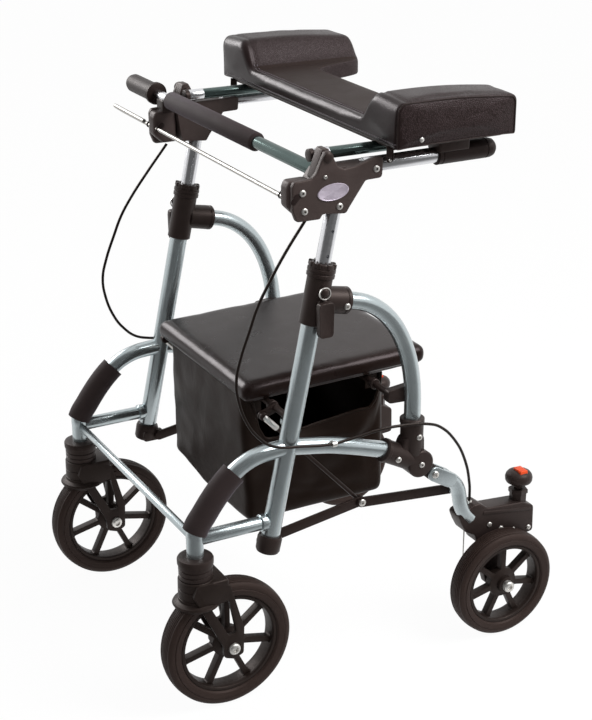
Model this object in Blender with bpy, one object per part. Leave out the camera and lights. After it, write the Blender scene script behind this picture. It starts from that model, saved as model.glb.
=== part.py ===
"""Four-wheeled walker with a raised forearm pad, a lifting seat and a bag, in metres, +Z up.

The front (the castors) looks along -Y, the user stands at +Y, and left is +X. Every
sub-part is one named object. Pieces that exist twice are drawn once on the left and
mirrored to the right. All of them hang on the empty "walker", which shifts the side
frames so that the whole object, with its off-centre push bar, is centred on the origin
and stands on the floor.
"""

import math

import bmesh
import bpy
from mathutils import Matrix, Vector

# Clearances
GAP = 0.0003              # between two pieces that touch
BORE_GAP = 0.0003         # round a pin, tube or axle in its hole
TYRE_GAP = 0.0030         # from a wheel to its fork or bracket

# Side frames
SIDE_X = 0.222            # mid plane of each side frame
ARCH_R = 0.0125
MAIN_R = 0.014
STEM_R = 0.011
STUB_R = 0.0105
CROSSBAR_R = 0.0062
CROSSBAR_Z = 0.276
STUB_Z = 0.2765
LEG_Y = -0.272            # upright front leg of the lower arch, and castor swivel
LEG_FOOT_Z = 0.232
MAIN_CROSS = (-0.1244, 0.387)
MAIN_LEAN = 0.2095        # y gained per unit of height
MAIN_FOOT_Z = 0.232
MAIN_TOP_Z = 0.648
STEM_FOOT_Z = 0.480
STEM_ROOM = 0.070          # depth of the main tube's bore under the stem
STEM_TOP_Z = 0.757
LOWER_ARCH = (
    (-0.272, 0.288), (-0.2675, 0.2975), (-0.2585, 0.310), (-0.246, 0.3275),
    (-0.2335, 0.343), (-0.222, 0.3552), (-0.209, 0.3665), (-0.194, 0.376),
    (-0.174, 0.3835), (-0.150, 0.3865), (-0.1244, 0.387), (-0.0985, 0.3830),
    (-0.0586, 0.3757), (-0.0138, 0.3636), (0.0166, 0.354), (0.042, 0.3457),
    (0.062, 0.3385),
)
ARCH_STEP = 0.018         # spacing of the rings along the front of the lower arch
BACK_STEP = 0.024         # and along its back
BUMPER_R = 0.0185
BUMPER_FROM_Z = 0.2875
BUMPER_TO_Z = 0.367
REAR_ARCH_PULL = (0.070, 0.095)
REAR_ARCH_FROM = (-0.045, 0.5961)
REAR_ARCH_BEND_TO = (0.0845, 0.410)
REAR_ARCH_DROP = 11.4     # degrees below level where it leaves the collar
CLIP_Y = -0.0585

# Collar that clamps the stem
COLLAR_FROM_Z = 0.568
COLLAR_TO_Z = 0.655
COLLAR_R = 0.018
COLLAR_STUB_R = 0.0195
COLLAR_STUB_TO_Y = -0.0229
LEVER_Z = 0.603
LEVER_LENGTH = 0.062
LEVER_WIDE = 0.020
LEVER_THICK = 0.006

# Rear joint, folding leg and its struts
SOCKET_R = 0.0175
SOCKET_FROM_Z = 0.330
SOCKET_TO_Z = 0.390
REAR_ARCH_FOOT_Z = SOCKET_TO_Z - 0.028
HINGE_SHELL = (0.093, 0.317)
HINGE_SHELL_R = 0.0215
LEG_PIVOT = (0.1212, 0.2918)
LUG_THICK = 0.014
LUG_R = 0.0115
CHEEK_THICK = 0.0045
LEG_R = 0.0115
LEG_ROUTE = (
    (0.1365, 0.2828), (0.150, 0.2750), (0.1625, 0.2650), (0.1700, 0.2530),
    (0.1735, 0.2400), (0.1765, 0.2250), (0.1830, 0.2090), (0.1940, 0.1960),
)
LEG_STEP = 0.0155
PIN_R = 0.004
FOOT_PIVOT = (-0.1405, 0.2374)
KNEE = (0.0093, 0.2604)
LEG_LUG = (0.1697, 0.2456)
STRUT_WIDE = 0.016
STRUT_THICK = 0.004
STRUT_BACK_X = SIDE_X - LEG_R - 0.004
STRUT_FRONT_X = STRUT_BACK_X - STRUT_THICK - GAP
LIFT_ROD_R = 0.003
LIFT_X = 0.175
LIFT_TOP = (-0.138, 0.4190)

# Wheels. The castors hang under their heads, and all four stand on FLOOR_Z
HEAD_R = 0.0245
HEAD_FROM_Z = 0.2170
HEAD_TO_Z = 0.250
CASTOR_R = 0.100
CASTOR_CLEAR = 0.017      # from the tyre up to the castor head
CASTOR_TYRE_DEEP = 0.023
REAR_R = 0.087
REAR_TYRE_DEEP = 0.021
FLOOR_Z = HEAD_FROM_Z - CASTOR_CLEAR - 2 * CASTOR_R
CASTOR_AXLE = (-0.2265, FLOOR_Z + CASTOR_R)
REAR_AXLE = (0.2395, FLOOR_Z + REAR_R)
REAR_WHEEL_X = 0.2503
TYRE_WIDE = 0.036
RIM_WIDE = 0.028
RIM_WALL = 0.0055
HUB_R = 0.017
AXLE_R = 0.0045
WHEEL_SIDES = 24
SPOKES = 7
SPOKE_WIDE = 0.013
SPOKE_THICK = 0.011
BOLT_R = 0.009
BOLT_THICK = 0.007
FORK_R = 0.0262
FORK_FROM_Z = 0.168
FORK_ARM = 0.007

# Brake on the rear leg
BRAKE_FROM_X = 0.199
BRAKE_TO_X = 0.2308
BRAKE_OUTLINE = (
    (0.1690, 0.2080), (0.1760, 0.1910), (0.184, 0.176), (0.201, 0.166), (0.206, 0.152),
    (0.252, 0.143), (0.312, 0.148), (0.311, 0.193), (0.290, 0.2035), (0.223, 0.209),
    (0.209, 0.220), (0.1985, 0.2200),
)
AXLE_ARM = (              # its lower end, from the axle
    (-0.0175, 0.005), (-0.0125, -0.013), (0, -0.018), (0.0125, -0.013), (0.0175, 0.005),
)
AXLE_ARM_TOP = ((0.258, 0.150), (0.214, 0.150))
AXLE_ARM_THICK = 0.014
ADJUSTER_AT = (0.198, 0.2215)
ADJUSTER_X = 0.215
ADJUSTER_R = 0.0045
KNOB_AT = (0.290, 0.215)
KNOB_R = 0.022
KNOB_NECK_R = 0.0155
KNOB_FROM_Z = 0.2290
KNOB_TO_Z = 0.2570

# Upper housing, handle and push bar
HOUSING_WIDE = 0.037
HOUSING = (
    (-0.140, 0.782), (-0.144, 0.773), (-0.143, 0.739), (-0.122, 0.724),
    (-0.082, 0.7234), (-0.079, 0.7300), (-0.042, 0.726), (-0.037, 0.734),
    (-0.012, 0.7685), (0.014, 0.7690), (0.0155, 0.800), (-0.024, 0.798),
    (-0.043, 0.7915), (-0.055, 0.7935), (-0.080, 0.7925), (-0.091, 0.7756),
)
EAR = (
    (-0.091, 0.7750), (-0.080, 0.8060), (-0.0755, 0.8180), (-0.0665, 0.8180),
    (-0.058, 0.8020), (-0.050, 0.7800),
)
EAR_WIDE = 0.016
HANDLE_Z = 0.7845
HANDLE_R = 0.011
HANDLE_FROM_Y = -0.008
HANDLE_TO_Y = 0.200
GRIP_R = 0.0143
GRIP_FROM_Y = 0.109
GRIP_TO_Y = 0.208
HANDLE_CLIP_FROM_Y = 0.030
HANDLE_CLIP_WIDE = 0.010
HANDLE_CLIP_WALL = 0.0025
BAR_NEAR_X = 0.200
BAR_NEAR_AT = (-0.0685, 0.7800)
BAR_FAR_X = -0.336
BAR_FAR_AT = (-0.1106, 0.8013)
BAR_R = 0.0095
BAR_STUB_R = 0.0075
FOAM_R = 0.014
FOAM_FROM_X = 0.049
FOAM_TO_X = -0.207
END_GRIP_FROM_X = -0.2505
END_GRIP_R = 0.0145
END_RING_R = 0.0175
ROD_R = 0.0025
ROD_FRONT = (-0.138, 0.7640)
ROD_BACK = (-0.1235, 0.7535)
ROD_TRAVEL = 0.008
ROD_WAY = (0.0335, 0.036)
ROD_NEAR_X = 0.216
ROD_FAR_X = -0.350

# Forearm pad and its arms
PAD_PIVOT = (-0.0715, 0.8087)
PAD_HALF = 0.265
PAD_ARM_X = 0.190
PAD_ARM_R = 0.008
PAD_ARM_TO_Y = 0.165
SADDLE_Y = (0.107, 0.157)
SADDLE_Z = 0.790
PAD_BED_HALF = 0.135
PAD_WING_FROM = 0.190
PAD_BED = ((0.020, 0.817), (0.126, 0.817), (0.126, 0.8355), (0.020, 0.8355))
PAD_WING = (
    (0.021, 0.817), (0.209, 0.817), (0.216, 0.860), (0.163, 0.887), (0.071, 0.891), (0.017, 0.890),
)
PAD_MIDDLE = (0.115, 0.853)
PAD_CROWN = 0.005
PAD_ROLL = 0.022          # how far in from each end the wing starts to round off

# Seat and bag
SEAT_HALF = 0.152
SEAT_FRONT_Y = -0.1555
SEAT_BACK_Y = 0.1405
SEAT_RISE = 0.005
SEAT_UNDER_Z = 0.432
SEAT_THICK = 0.0265
SEAT_HINGE = (0.055, 0.4265)
SEAT_ROD_R = 0.005
SEAT_REACH_X = 0.207
SEAT_RAIL_X = 0.1216
SEAT_RAIL_SHORT = 0.012
SEAT_RAIL_R = 0.0045
BAG_HALF = 0.130
BAG_FRONT_Y = -0.149
BAG_BACK_Y = 0.090
BAG_FLOOR_FRONT_Z = 0.235
BAG_FLOOR_BACK_Z = 0.2245
BAG_WALL = 0.004

# Brake cables, as points of their routes on the left, with x from the side frame
CABLE_R = 0.0025
CABLE_STEP = 0.020
CABLE_UPPER = (
    (0.0070, -0.0995, 0.7222), (0.0100, -0.1330, 0.6800), (0.0140, -0.1600, 0.6423),
    (0.0160, -0.1780, 0.6125), (0.0175, -0.1904, 0.5830), (0.0185, -0.2060, 0.5422),
    (0.0190, -0.2125, 0.5141), (0.0190, -0.2099, 0.4839), (0.0190, -0.1951, 0.4432),
    (0.0190, -0.1798, 0.4216), (0.0190, -0.1611, 0.4052), (0.0190, -0.1374, 0.3969),
    (0.0190, -0.1134, 0.3931), (0.0190, -0.0850, 0.3880), (0.0190, -0.0588, 0.3850),
)
CABLE_LOWER = (
    (0.0190, -0.0582, 0.3850), (0.0190, -0.0400, 0.3864), (0.0205, -0.0118, 0.3897),
    (0.0230, 0.0170, 0.3935), (0.0250, 0.0560, 0.3925), (0.0250, 0.0960, 0.3860),
    (0.0220, 0.1200, 0.3750), (0.0180, 0.1500, 0.3448), (0.0105, 0.1748, 0.3029),
    (-0.0010, 0.1925, 0.2560), (-0.0070, 0.1980, 0.2350), (-0.0070, 0.1980, 0.2218),
)

# Finishes: colour, roughness, metallic
PAINTED = ((0.40, 0.47, 0.50), 0.35, 0.85)
CHROME = ((0.72, 0.73, 0.75), 0.18, 1.0)
TEAL = ((0.10, 0.27, 0.27), 0.35, 0.80)
PLASTIC = ((0.030, 0.026, 0.026), 0.45, 0.0)
RUBBER = ((0.022, 0.020, 0.020), 0.80, 0.0)
FOAM = ((0.030, 0.024, 0.028), 0.90, 0.0)
LEATHER = ((0.022, 0.018, 0.018), 0.60, 0.0)
CLOTH = ((0.018, 0.016, 0.018), 0.85, 0.0)
ORANGE = ((0.70, 0.11, 0.03), 0.45, 0.0)

FINISHES = {}


def clear_scene():
    for obj in list(bpy.data.objects):
        bpy.data.objects.remove(obj)


def finish(name, values):
    if name not in FINISHES:
        material = bpy.data.materials.new(name)
        material.use_nodes = True
        shader = material.node_tree.nodes["Principled BSDF"]
        colour, roughness, metallic = values
        shader.inputs["Base Color"].default_value = (*colour, 1.0)
        shader.inputs["Roughness"].default_value = roughness
        shader.inputs["Metallic"].default_value = metallic
        material.diffuse_color = (*colour, 1.0)
        FINISHES[name] = material
    return FINISHES[name]


def made(bm):
    bmesh.ops.recalc_face_normals(bm, faces=bm.faces)
    mesh = bpy.data.meshes.new("piece")
    bm.to_mesh(mesh)
    bm.free()
    obj = bpy.data.objects.new("piece", mesh)
    bpy.context.scene.collection.objects.link(obj)
    return obj


def skin(rings, edge=0.0):
    """A closed solid through rings of equally many points, its end faces flat."""
    bm = bmesh.new()
    loops = [[bm.verts.new(point) for point in ring] for ring in rings]
    for first, second in zip(loops, loops[1:]):
        for i in range(len(first)):
            j = (i + 1) % len(first)
            bm.faces.new((first[i], first[j], second[j], second[i]))
    ends = [bm.faces.new(list(reversed(loops[0]))), bm.faces.new(loops[-1])]
    if edge:
        rim = list({e for face in ends for e in face.edges})
        bmesh.ops.recalc_face_normals(bm, faces=bm.faces)
        bmesh.ops.bevel(bm, geom=rim, offset=edge, segments=1, affect="EDGES")
    return made(bm)


def in_frame(y, z, x=SIDE_X):
    return Vector((x, y, z))


def axes_of(way):
    way = Vector(way).normalized()
    level = Vector((0, 0, 1)) if abs(way.z) < 0.9 else Vector((1, 0, 0))
    across = way.cross(level).normalized()
    return way, across, way.cross(across)


def circle(centre, way, radius, sides):
    way, across, up = axes_of(way)
    turn = 2 * math.pi / sides
    outward = [math.cos(i * turn) * across + math.sin(i * turn) * up for i in range(sides)]
    return [centre + radius * out for out in outward]


def turned(profile, base, way, sides=16):
    """A solid of revolution: profile holds (height, radius) pairs along way."""
    base = Vector(base)
    way = Vector(way).normalized()
    return skin([circle(base + height * way, way, radius, sides) for height, radius in profile])


def rod(start, end, radius, sides=16):
    start = Vector(start)
    end = Vector(end)
    return turned([(0, radius), ((end - start).length, radius)], start, end - start, sides)


def ring(section, base, way, sides=16, flat=False):
    """A ring: section is a closed outline of (height, radius) pairs turned round way.

    With flat, a facet and not a corner of the ring faces straight down.
    """
    bm = bmesh.new()
    base = Vector(base)
    way, across, up = axes_of(way)
    loops = []
    for i in range(sides):
        angle = 2 * math.pi * (i + 0.5 * flat) / sides
        out = math.cos(angle) * across + math.sin(angle) * up
        loops.append([bm.verts.new(base + height * way + radius * out) for height, radius in section])
    for i in range(sides):
        first = loops[i]
        second = loops[(i + 1) % sides]
        for j in range(len(section)):
            k = (j + 1) % len(section)
            bm.faces.new((first[j], first[k], second[k], second[j]))
    return made(bm)


def tube(path, radii, sides=12):
    """A bent round bar along path. The rings lie across the path without twisting."""
    path = [Vector(point) for point in path]
    if not isinstance(radii, (list, tuple)):
        radii = [radii] * len(path)
    rings = []
    across = None
    for i, point in enumerate(path):
        way = (path[min(i + 1, len(path) - 1)] - path[max(i - 1, 0)]).normalized()
        if across is None:
            across = axes_of(way)[1]
        across = (across - way * across.dot(way)).normalized()
        up = way.cross(across)
        turn = 2 * math.pi / sides
        outward = [math.cos(j * turn) * across + math.sin(j * turn) * up for j in range(sides)]
        rings.append([point + radii[i] * out for out in outward])
    return skin(rings)


def prism(outline, from_x, to_x, edge=0.0):
    """An outline of (y, z) points with a thickness along X."""
    return skin([[Vector((x, y, z)) for y, z in outline] for x in (from_x, to_x)], edge)


def block(low, high, edge=0.0):
    outline = ((low[1], low[2]), (high[1], low[2]), (high[1], high[2]), (low[1], high[2]))
    return prism(outline, low[0], high[0], edge)


def rounded(outline, radius, steps=2):
    """The outline with an arc at each corner, smaller where a side is short."""
    points = [Vector(point) for point in outline]
    made_of = []
    for i, corner in enumerate(points):
        before = points[i - 1] - corner
        after = points[(i + 1) % len(points)] - corner
        angle = before.angle(after)
        if angle > math.radians(172):
            made_of.append(corner)
            continue
        reach = min(radius / math.tan(angle / 2), 0.45 * before.length, 0.45 * after.length)
        start = corner + before.normalized() * reach
        end = corner + after.normalized() * reach
        for step in range(steps + 1):
            t = step / steps
            made_of.append((1 - t) ** 2 * start + 2 * t * (1 - t) * corner + t * t * end)
    return [tuple(point) for point in made_of]


def through(points, step):
    """Evenly spaced points on a smooth curve through the given ones."""
    points = [Vector(point) for point in points]
    ends = [2 * points[0] - points[1], *points, 2 * points[-1] - points[-2]]
    fine = []
    for a, b, c, d in zip(ends, ends[1:], ends[2:], ends[3:]):
        for i in range(12):
            t = i / 12
            curved = (2 * a - 5 * b + 4 * c - d) * t * t + (3 * b - a - 3 * c + d) * t ** 3
            fine.append(0.5 * (2 * b + (c - a) * t + curved))
    fine.append(points[-1])
    lengths = [0.0]
    for first, second in zip(fine, fine[1:]):
        lengths.append(lengths[-1] + (second - first).length)
    count = max(2, round(lengths[-1] / step))
    even = []
    place = 0
    for i in range(count + 1):
        wanted = lengths[-1] * i / count
        while place < len(fine) - 2 and lengths[place + 1] < wanted:
            place += 1
        share = (wanted - lengths[place]) / (lengths[place + 1] - lengths[place])
        even.append(fine[place].lerp(fine[place + 1], min(1.0, share)))
    return even


def boolean(target, tools, operation):
    for tool in tools:
        modifier = target.modifiers.new(operation.title(), "BOOLEAN")
        modifier.solver = "EXACT"
        modifier.operation = operation
        modifier.object = tool
        bpy.context.view_layer.update()
        graph = bpy.context.evaluated_depsgraph_get()
        mesh = bpy.data.meshes.new_from_object(target.evaluated_get(graph))
        target.modifiers.clear()
        target.data = mesh
        bpy.data.objects.remove(tool)
    return target


def joined(target, *tools):
    return boolean(target, tools, "UNION")


def cut(target, *tools):
    return boolean(target, tools, "DIFFERENCE")


def settle(mesh):
    """Merges the double points that Booleans leave and splits faces without slivers."""
    bm = bmesh.new()
    bm.from_mesh(mesh)
    bmesh.ops.remove_doubles(bm, verts=bm.verts, dist=0.000004)
    bmesh.ops.triangulate(bm, faces=bm.faces, quad_method="BEAUTY", ngon_method="BEAUTY")
    bmesh.ops.dissolve_degenerate(bm, edges=bm.edges, dist=0.000004)
    bm.to_mesh(mesh)
    bm.free()


def place(obj, name, look, values, pivot=(0, 0, 0)):
    """Names the piece, gives it its finish and puts its origin on its joint's axis."""
    pivot = Vector(pivot)
    obj.name = name
    obj.data.name = name
    obj.data.transform(Matrix.Translation(-pivot))
    obj.location = pivot
    obj.parent = walker
    obj.data.materials.clear()
    obj.data.materials.append(finish(look, values))
    if obj.type == "MESH":
        settle(obj.data)
        for face in obj.data.polygons:
            face.material_index = 0
        obj.data.shade_smooth()
        obj.data.set_sharp_from_angle(angle=math.radians(38))
    return obj


def both(obj, name, look, values, pivot=(0, 0, 0)):
    """The left piece as drawn, and its mirror image on the right."""
    left = place(obj, name + "_left", look, values, pivot)
    right = bpy.data.objects.new(name + "_right", left.data.copy())
    right.data.name = name + "_right"
    bpy.context.scene.collection.objects.link(right)
    right.data.transform(Matrix.Scale(-1, 4, (1, 0, 0)))
    if right.type == "MESH":
        right.data.flip_normals()
    right.location = Vector((-left.location.x, left.location.y, left.location.z))
    right.parent = walker
    return left, right


def main_y(z):
    return MAIN_CROSS[0] + (z - MAIN_CROSS[1]) * MAIN_LEAN


def on_main(z):
    return in_frame(main_y(z), z)


MAIN_WAY = Vector((0, MAIN_LEAN, 1)).normalized()


def lower_arch_path(first, last):
    return [in_frame(*point) for point in LOWER_ARCH[first:last]]


def front_arch_path():
    cross = LOWER_ARCH.index(MAIN_CROSS)
    foot = [in_frame(LEG_Y, LEG_FOOT_Z + 0.012), in_frame(LEG_Y, CROSSBAR_Z)]
    return foot + through(lower_arch_path(0, cross + 1), ARCH_STEP)


def leg_path():
    return through([in_frame(*point) for point in LEG_ROUTE], LEG_STEP)


def cable_route(points):
    return [in_frame(y, z, SIDE_X + x) for x, y, z in points]


def bolt(y, z, from_x, to_x, radius, sides=12):
    return rod((from_x, y, z), (to_x, y, z), radius, sides)


def frame_tubes():
    """The fixed tubes of a side: lower arch, main tube, stub and rear arch."""
    cross = LOWER_ARCH.index(MAIN_CROSS)
    main_clear = MAIN_R + GAP

    front = tube(front_arch_path(), ARCH_R)
    stub = rod(in_frame(LEG_Y, STUB_Z), on_main(STUB_Z), STUB_R, 12)
    head = turned(
        [
            (0, HEAD_R), (0.022, HEAD_R), (0.0225, HEAD_R - 0.0015), (0.0245, HEAD_R - 0.0015),
            (0.025, HEAD_R + 0.001), (HEAD_TO_Z - HEAD_FROM_Z - 0.002, HEAD_R + 0.001),
            (HEAD_TO_Z - HEAD_FROM_Z, HEAD_R - 0.002),
        ],
        in_frame(LEG_Y, HEAD_FROM_Z),
        (0, 0, 1),
    )
    joined(front, stub, head)
    cut(front, rod(on_main(MAIN_FOOT_Z - 0.03), on_main(0.45), main_clear, 16))
    both(front, "arch_front", "painted tube", PAINTED)

    back = tube(through(lower_arch_path(cross, len(LOWER_ARCH)), BACK_STEP), ARCH_R)
    cut(back, rod(on_main(0.34), on_main(0.44), main_clear, 16))
    middle = (cable_route(CABLE_UPPER)[-1] + cable_route(CABLE_LOWER)[0]) / 2
    clip = block(
        (SIDE_X + 0.004, CLIP_Y - 0.005, middle.z - 0.008),
        (middle.x + 0.0045, CLIP_Y + 0.005, middle.z + 0.005),
        0.001,
    )
    joined(back, clip)
    run = Vector((0, 0.012, 0))
    cut(back, rod(middle - run, middle + run, CABLE_R + 0.0008, 12))
    both(back, "arch_back", "painted tube", PAINTED)

    main = rod(on_main(MAIN_FOOT_Z), on_main(MAIN_TOP_Z), MAIN_R, 16)
    foot_y = main_y(MAIN_FOOT_Z)
    foot = block(
        (SIDE_X - 0.017, foot_y - 0.019, MAIN_FOOT_Z - 0.006),
        (SIDE_X + 0.017, foot_y + 0.017, MAIN_FOOT_Z + 0.026),
        0.003,
    )
    lug_face = SIDE_X - 0.0175
    lug = prism(
        rounded(
            (
                (foot_y - 0.010, FOOT_PIVOT[1] - 0.009), (FOOT_PIVOT[0] + 0.009, FOOT_PIVOT[1] - 0.009),
                (FOOT_PIVOT[0] + 0.009, FOOT_PIVOT[1] + 0.009), (foot_y - 0.010, FOOT_PIVOT[1] + 0.009),
            ),
            0.006,
        ),
        lug_face,
        SIDE_X - 0.008,
    )
    cradle = block(
        (SIDE_X - 0.027, main_y(SEAT_HINGE[1]) - 0.006, SEAT_HINGE[1] - SEAT_ROD_R - 0.009),
        (SIDE_X - MAIN_R + 0.0018, main_y(SEAT_HINGE[1]) + 0.006, SEAT_HINGE[1] - SEAT_ROD_R - GAP),
    )
    joined(main, foot, lug, cradle)
    cut(main, rod(on_main(STEM_FOOT_Z - STEM_ROOM), on_main(MAIN_TOP_Z + 0.01), STEM_R + BORE_GAP, 16))
    both(main, "main_tube", "painted tube", PAINTED)

    drop = math.radians(REAR_ARCH_DROP)
    start = in_frame(*REAR_ARCH_FROM)
    leave = Vector((0, math.cos(drop), -math.sin(drop)))
    knee = start + leave * 0.022
    end = in_frame(*REAR_ARCH_BEND_TO)
    first = knee + leave * REAR_ARCH_PULL[0]
    second = end + Vector((0, 0, REAR_ARCH_PULL[1]))
    path = [start]
    for i in range(11):
        t = i / 10
        near_start = (1 - t) ** 3 * knee + 3 * t * (1 - t) ** 2 * first
        path.append(near_start + 3 * t * t * (1 - t) * second + t ** 3 * end)
    path.append(in_frame(REAR_ARCH_BEND_TO[0], REAR_ARCH_FOOT_Z))
    arch = tube(path, ARCH_R)
    inner = SIDE_X - ARCH_R - 0.0035
    bracket = prism(
        rounded(
            (
                (SEAT_HINGE[0] - 0.010, SEAT_HINGE[1] - 0.010),
                (REAR_ARCH_BEND_TO[0] + 0.004, SEAT_HINGE[1] - 0.012),
                (REAR_ARCH_BEND_TO[0] + 0.002, SEAT_HINGE[1] + 0.014),
                (SEAT_HINGE[0] - 0.010, SEAT_HINGE[1] + 0.010),
            ),
            0.007,
        ),
        inner - 0.002,
        SIDE_X - 0.004,
    )
    joined(arch, bracket)
    cut(arch, bolt(*SEAT_HINGE, SEAT_REACH_X - 0.02, SEAT_REACH_X + GAP, SEAT_ROD_R + BORE_GAP, 16))
    both(arch, "rear_arch", "painted tube", PAINTED)

    reach = SIDE_X - ARCH_R - GAP
    bar = rod((-reach, LEG_Y, CROSSBAR_Z), (reach, LEG_Y, CROSSBAR_Z), CROSSBAR_R, 12)
    place(bar, "crossbar", "painted tube", PAINTED)


def bumpers():
    """Foam sleeve on the front bend of each lower arch."""
    arch = front_arch_path()
    inside = [i for i, point in enumerate(arch) if BUMPER_FROM_Z < point.z < BUMPER_TO_Z]
    path = arch[inside[0]:inside[-1] + 1]
    bore_path = arch[inside[0] - 2:inside[-1] + 3]
    radii = [BUMPER_R] * len(path)
    radii[0] = BUMPER_R - 0.0015
    radii[-1] = BUMPER_R - 0.0015
    foam = tube(path, radii)
    cut(foam, tube(bore_path, ARCH_R + GAP))
    level = STUB_Z + STUB_R + GAP
    cut(foam, block((SIDE_X - 0.04, LEG_Y - 0.04, level - 0.03), (SIDE_X + 0.04, LEG_Y + 0.04, level)))
    both(foam, "bumper", "foam sleeve", FOAM)


def collars():
    """Clamp at the top of each main tube, its side socket for the rear arch and its lever."""
    bottom = on_main(COLLAR_FROM_Z)
    height = (COLLAR_TO_Z - COLLAR_FROM_Z) / MAIN_WAY.z
    shell = turned(
        [
            (0, COLLAR_R - 0.001), (0.0015, COLLAR_R), (height - 0.020, COLLAR_R),
            (height - 0.019, COLLAR_R + 0.002), (height - 0.002, COLLAR_R + 0.002),
            (height, COLLAR_R + 0.0005),
        ],
        bottom,
        MAIN_WAY,
    )
    drop = math.radians(REAR_ARCH_DROP)
    leave = Vector((0, math.cos(drop), -math.sin(drop)))
    start = in_frame(*REAR_ARCH_FROM)
    mouth = start + leave * ((COLLAR_STUB_TO_Y - start.y) / leave.y)
    back = start - leave * 0.026
    stub = rod(back, mouth, COLLAR_STUB_R, 16)
    lever_y = main_y(LEVER_Z)
    ear_x = SIDE_X + COLLAR_R - 0.004
    ear_to = ear_x + 0.0095
    lug = block((ear_x, lever_y - 0.006, LEVER_Z - 0.010), (ear_to, lever_y + 0.006, LEVER_Z + 0.002))
    joined(shell, stub, lug)
    cut(
        shell,
        rod(bottom - MAIN_WAY * 0.01, on_main(MAIN_TOP_Z) + MAIN_WAY * GAP, MAIN_R + GAP, 16),
        rod(on_main(MAIN_TOP_Z - 0.01), on_main(COLLAR_TO_Z + 0.01), STEM_R + BORE_GAP, 16),
        rod(start - leave * GAP, mouth + leave * 0.01, ARCH_R + GAP, 12),
    )
    both(shell, "collar", "black plastic", PLASTIC)

    face = ear_to + GAP
    lever = prism(
        rounded(
            (
                (lever_y - LEVER_WIDE / 2, LEVER_Z + 0.010), (lever_y + LEVER_WIDE / 2, LEVER_Z + 0.010),
                (lever_y + LEVER_WIDE / 2 - 0.002, LEVER_Z + 0.010 - LEVER_LENGTH),
                (lever_y - LEVER_WIDE / 2 + 0.002, LEVER_Z + 0.010 - LEVER_LENGTH),
            ),
            0.006,
        ),
        face,
        face + LEVER_THICK,
        0.001,
    )
    pivot = (face + LEVER_THICK / 2, lever_y, LEVER_Z + 0.007)
    both(lever, "clamp_lever", "black plastic", PLASTIC, pivot)


def leg_joints():
    """Casting that holds the rear end of both arches and the hinge of the folding leg."""
    socket_y = REAR_ARCH_BEND_TO[0]
    socket = rod(in_frame(socket_y, SOCKET_FROM_Z), in_frame(socket_y, SOCKET_TO_Z), SOCKET_R, 16)
    end = Vector(in_frame(*LOWER_ARCH[-1]))
    before = Vector(in_frame(*LOWER_ARCH[-3]))
    way = (end - before).normalized()
    shell_from = end - way * 0.030
    sleeve = rod(shell_from, in_frame(*HINGE_SHELL), SOCKET_R, 12)
    cover = bolt(*HINGE_SHELL, SIDE_X - SOCKET_R, SIDE_X + SOCKET_R, HINGE_SHELL_R, 20)
    half = LUG_THICK / 2
    along = (Vector(LEG_PIVOT) - Vector(HINGE_SHELL)).normalized()
    side = Vector((-along.y, along.x)) * LUG_R
    pivot = Vector(LEG_PIVOT)
    tip = []
    for i in range(7):
        angle = -math.pi / 2 + math.pi * i / 6
        tip.append(tuple(pivot + along * LUG_R * math.cos(angle) + side * math.sin(angle)))
    root = Vector(HINGE_SHELL)
    lug = prism([*tip, tuple(root + side), tuple(root - side)], SIDE_X - half, SIDE_X + half)
    joined(socket, sleeve, cover, lug)
    seat_from = in_frame(socket_y, REAR_ARCH_FOOT_Z - GAP)
    cut(
        socket,
        rod(seat_from, in_frame(socket_y, SOCKET_TO_Z + 0.02), ARCH_R + GAP, 12),
        tube(through([*lower_arch_path(-6, len(LOWER_ARCH)), end + way * GAP], 0.012), ARCH_R + GAP, 12),
        bolt(*LEG_PIVOT, SIDE_X - 0.02, SIDE_X + 0.02, PIN_R + BORE_GAP, 16),
    )
    both(socket, "leg_joint", "black plastic", PLASTIC)


def stadium(start, end, radius, steps=4):
    """Outline of a bar with round ends from one (y, z) point to another."""
    start = Vector(start)
    end = Vector(end)
    along = (end - start).normalized()
    side = Vector((-along.y, along.x))
    points = []
    for centre, turn in ((end, 0.0), (start, math.pi)):
        for i in range(steps + 1):
            angle = turn - math.pi / 2 + math.pi * i / steps
            points.append(tuple(centre + radius * (math.cos(angle) * along + math.sin(angle) * side)))
    return points


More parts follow.
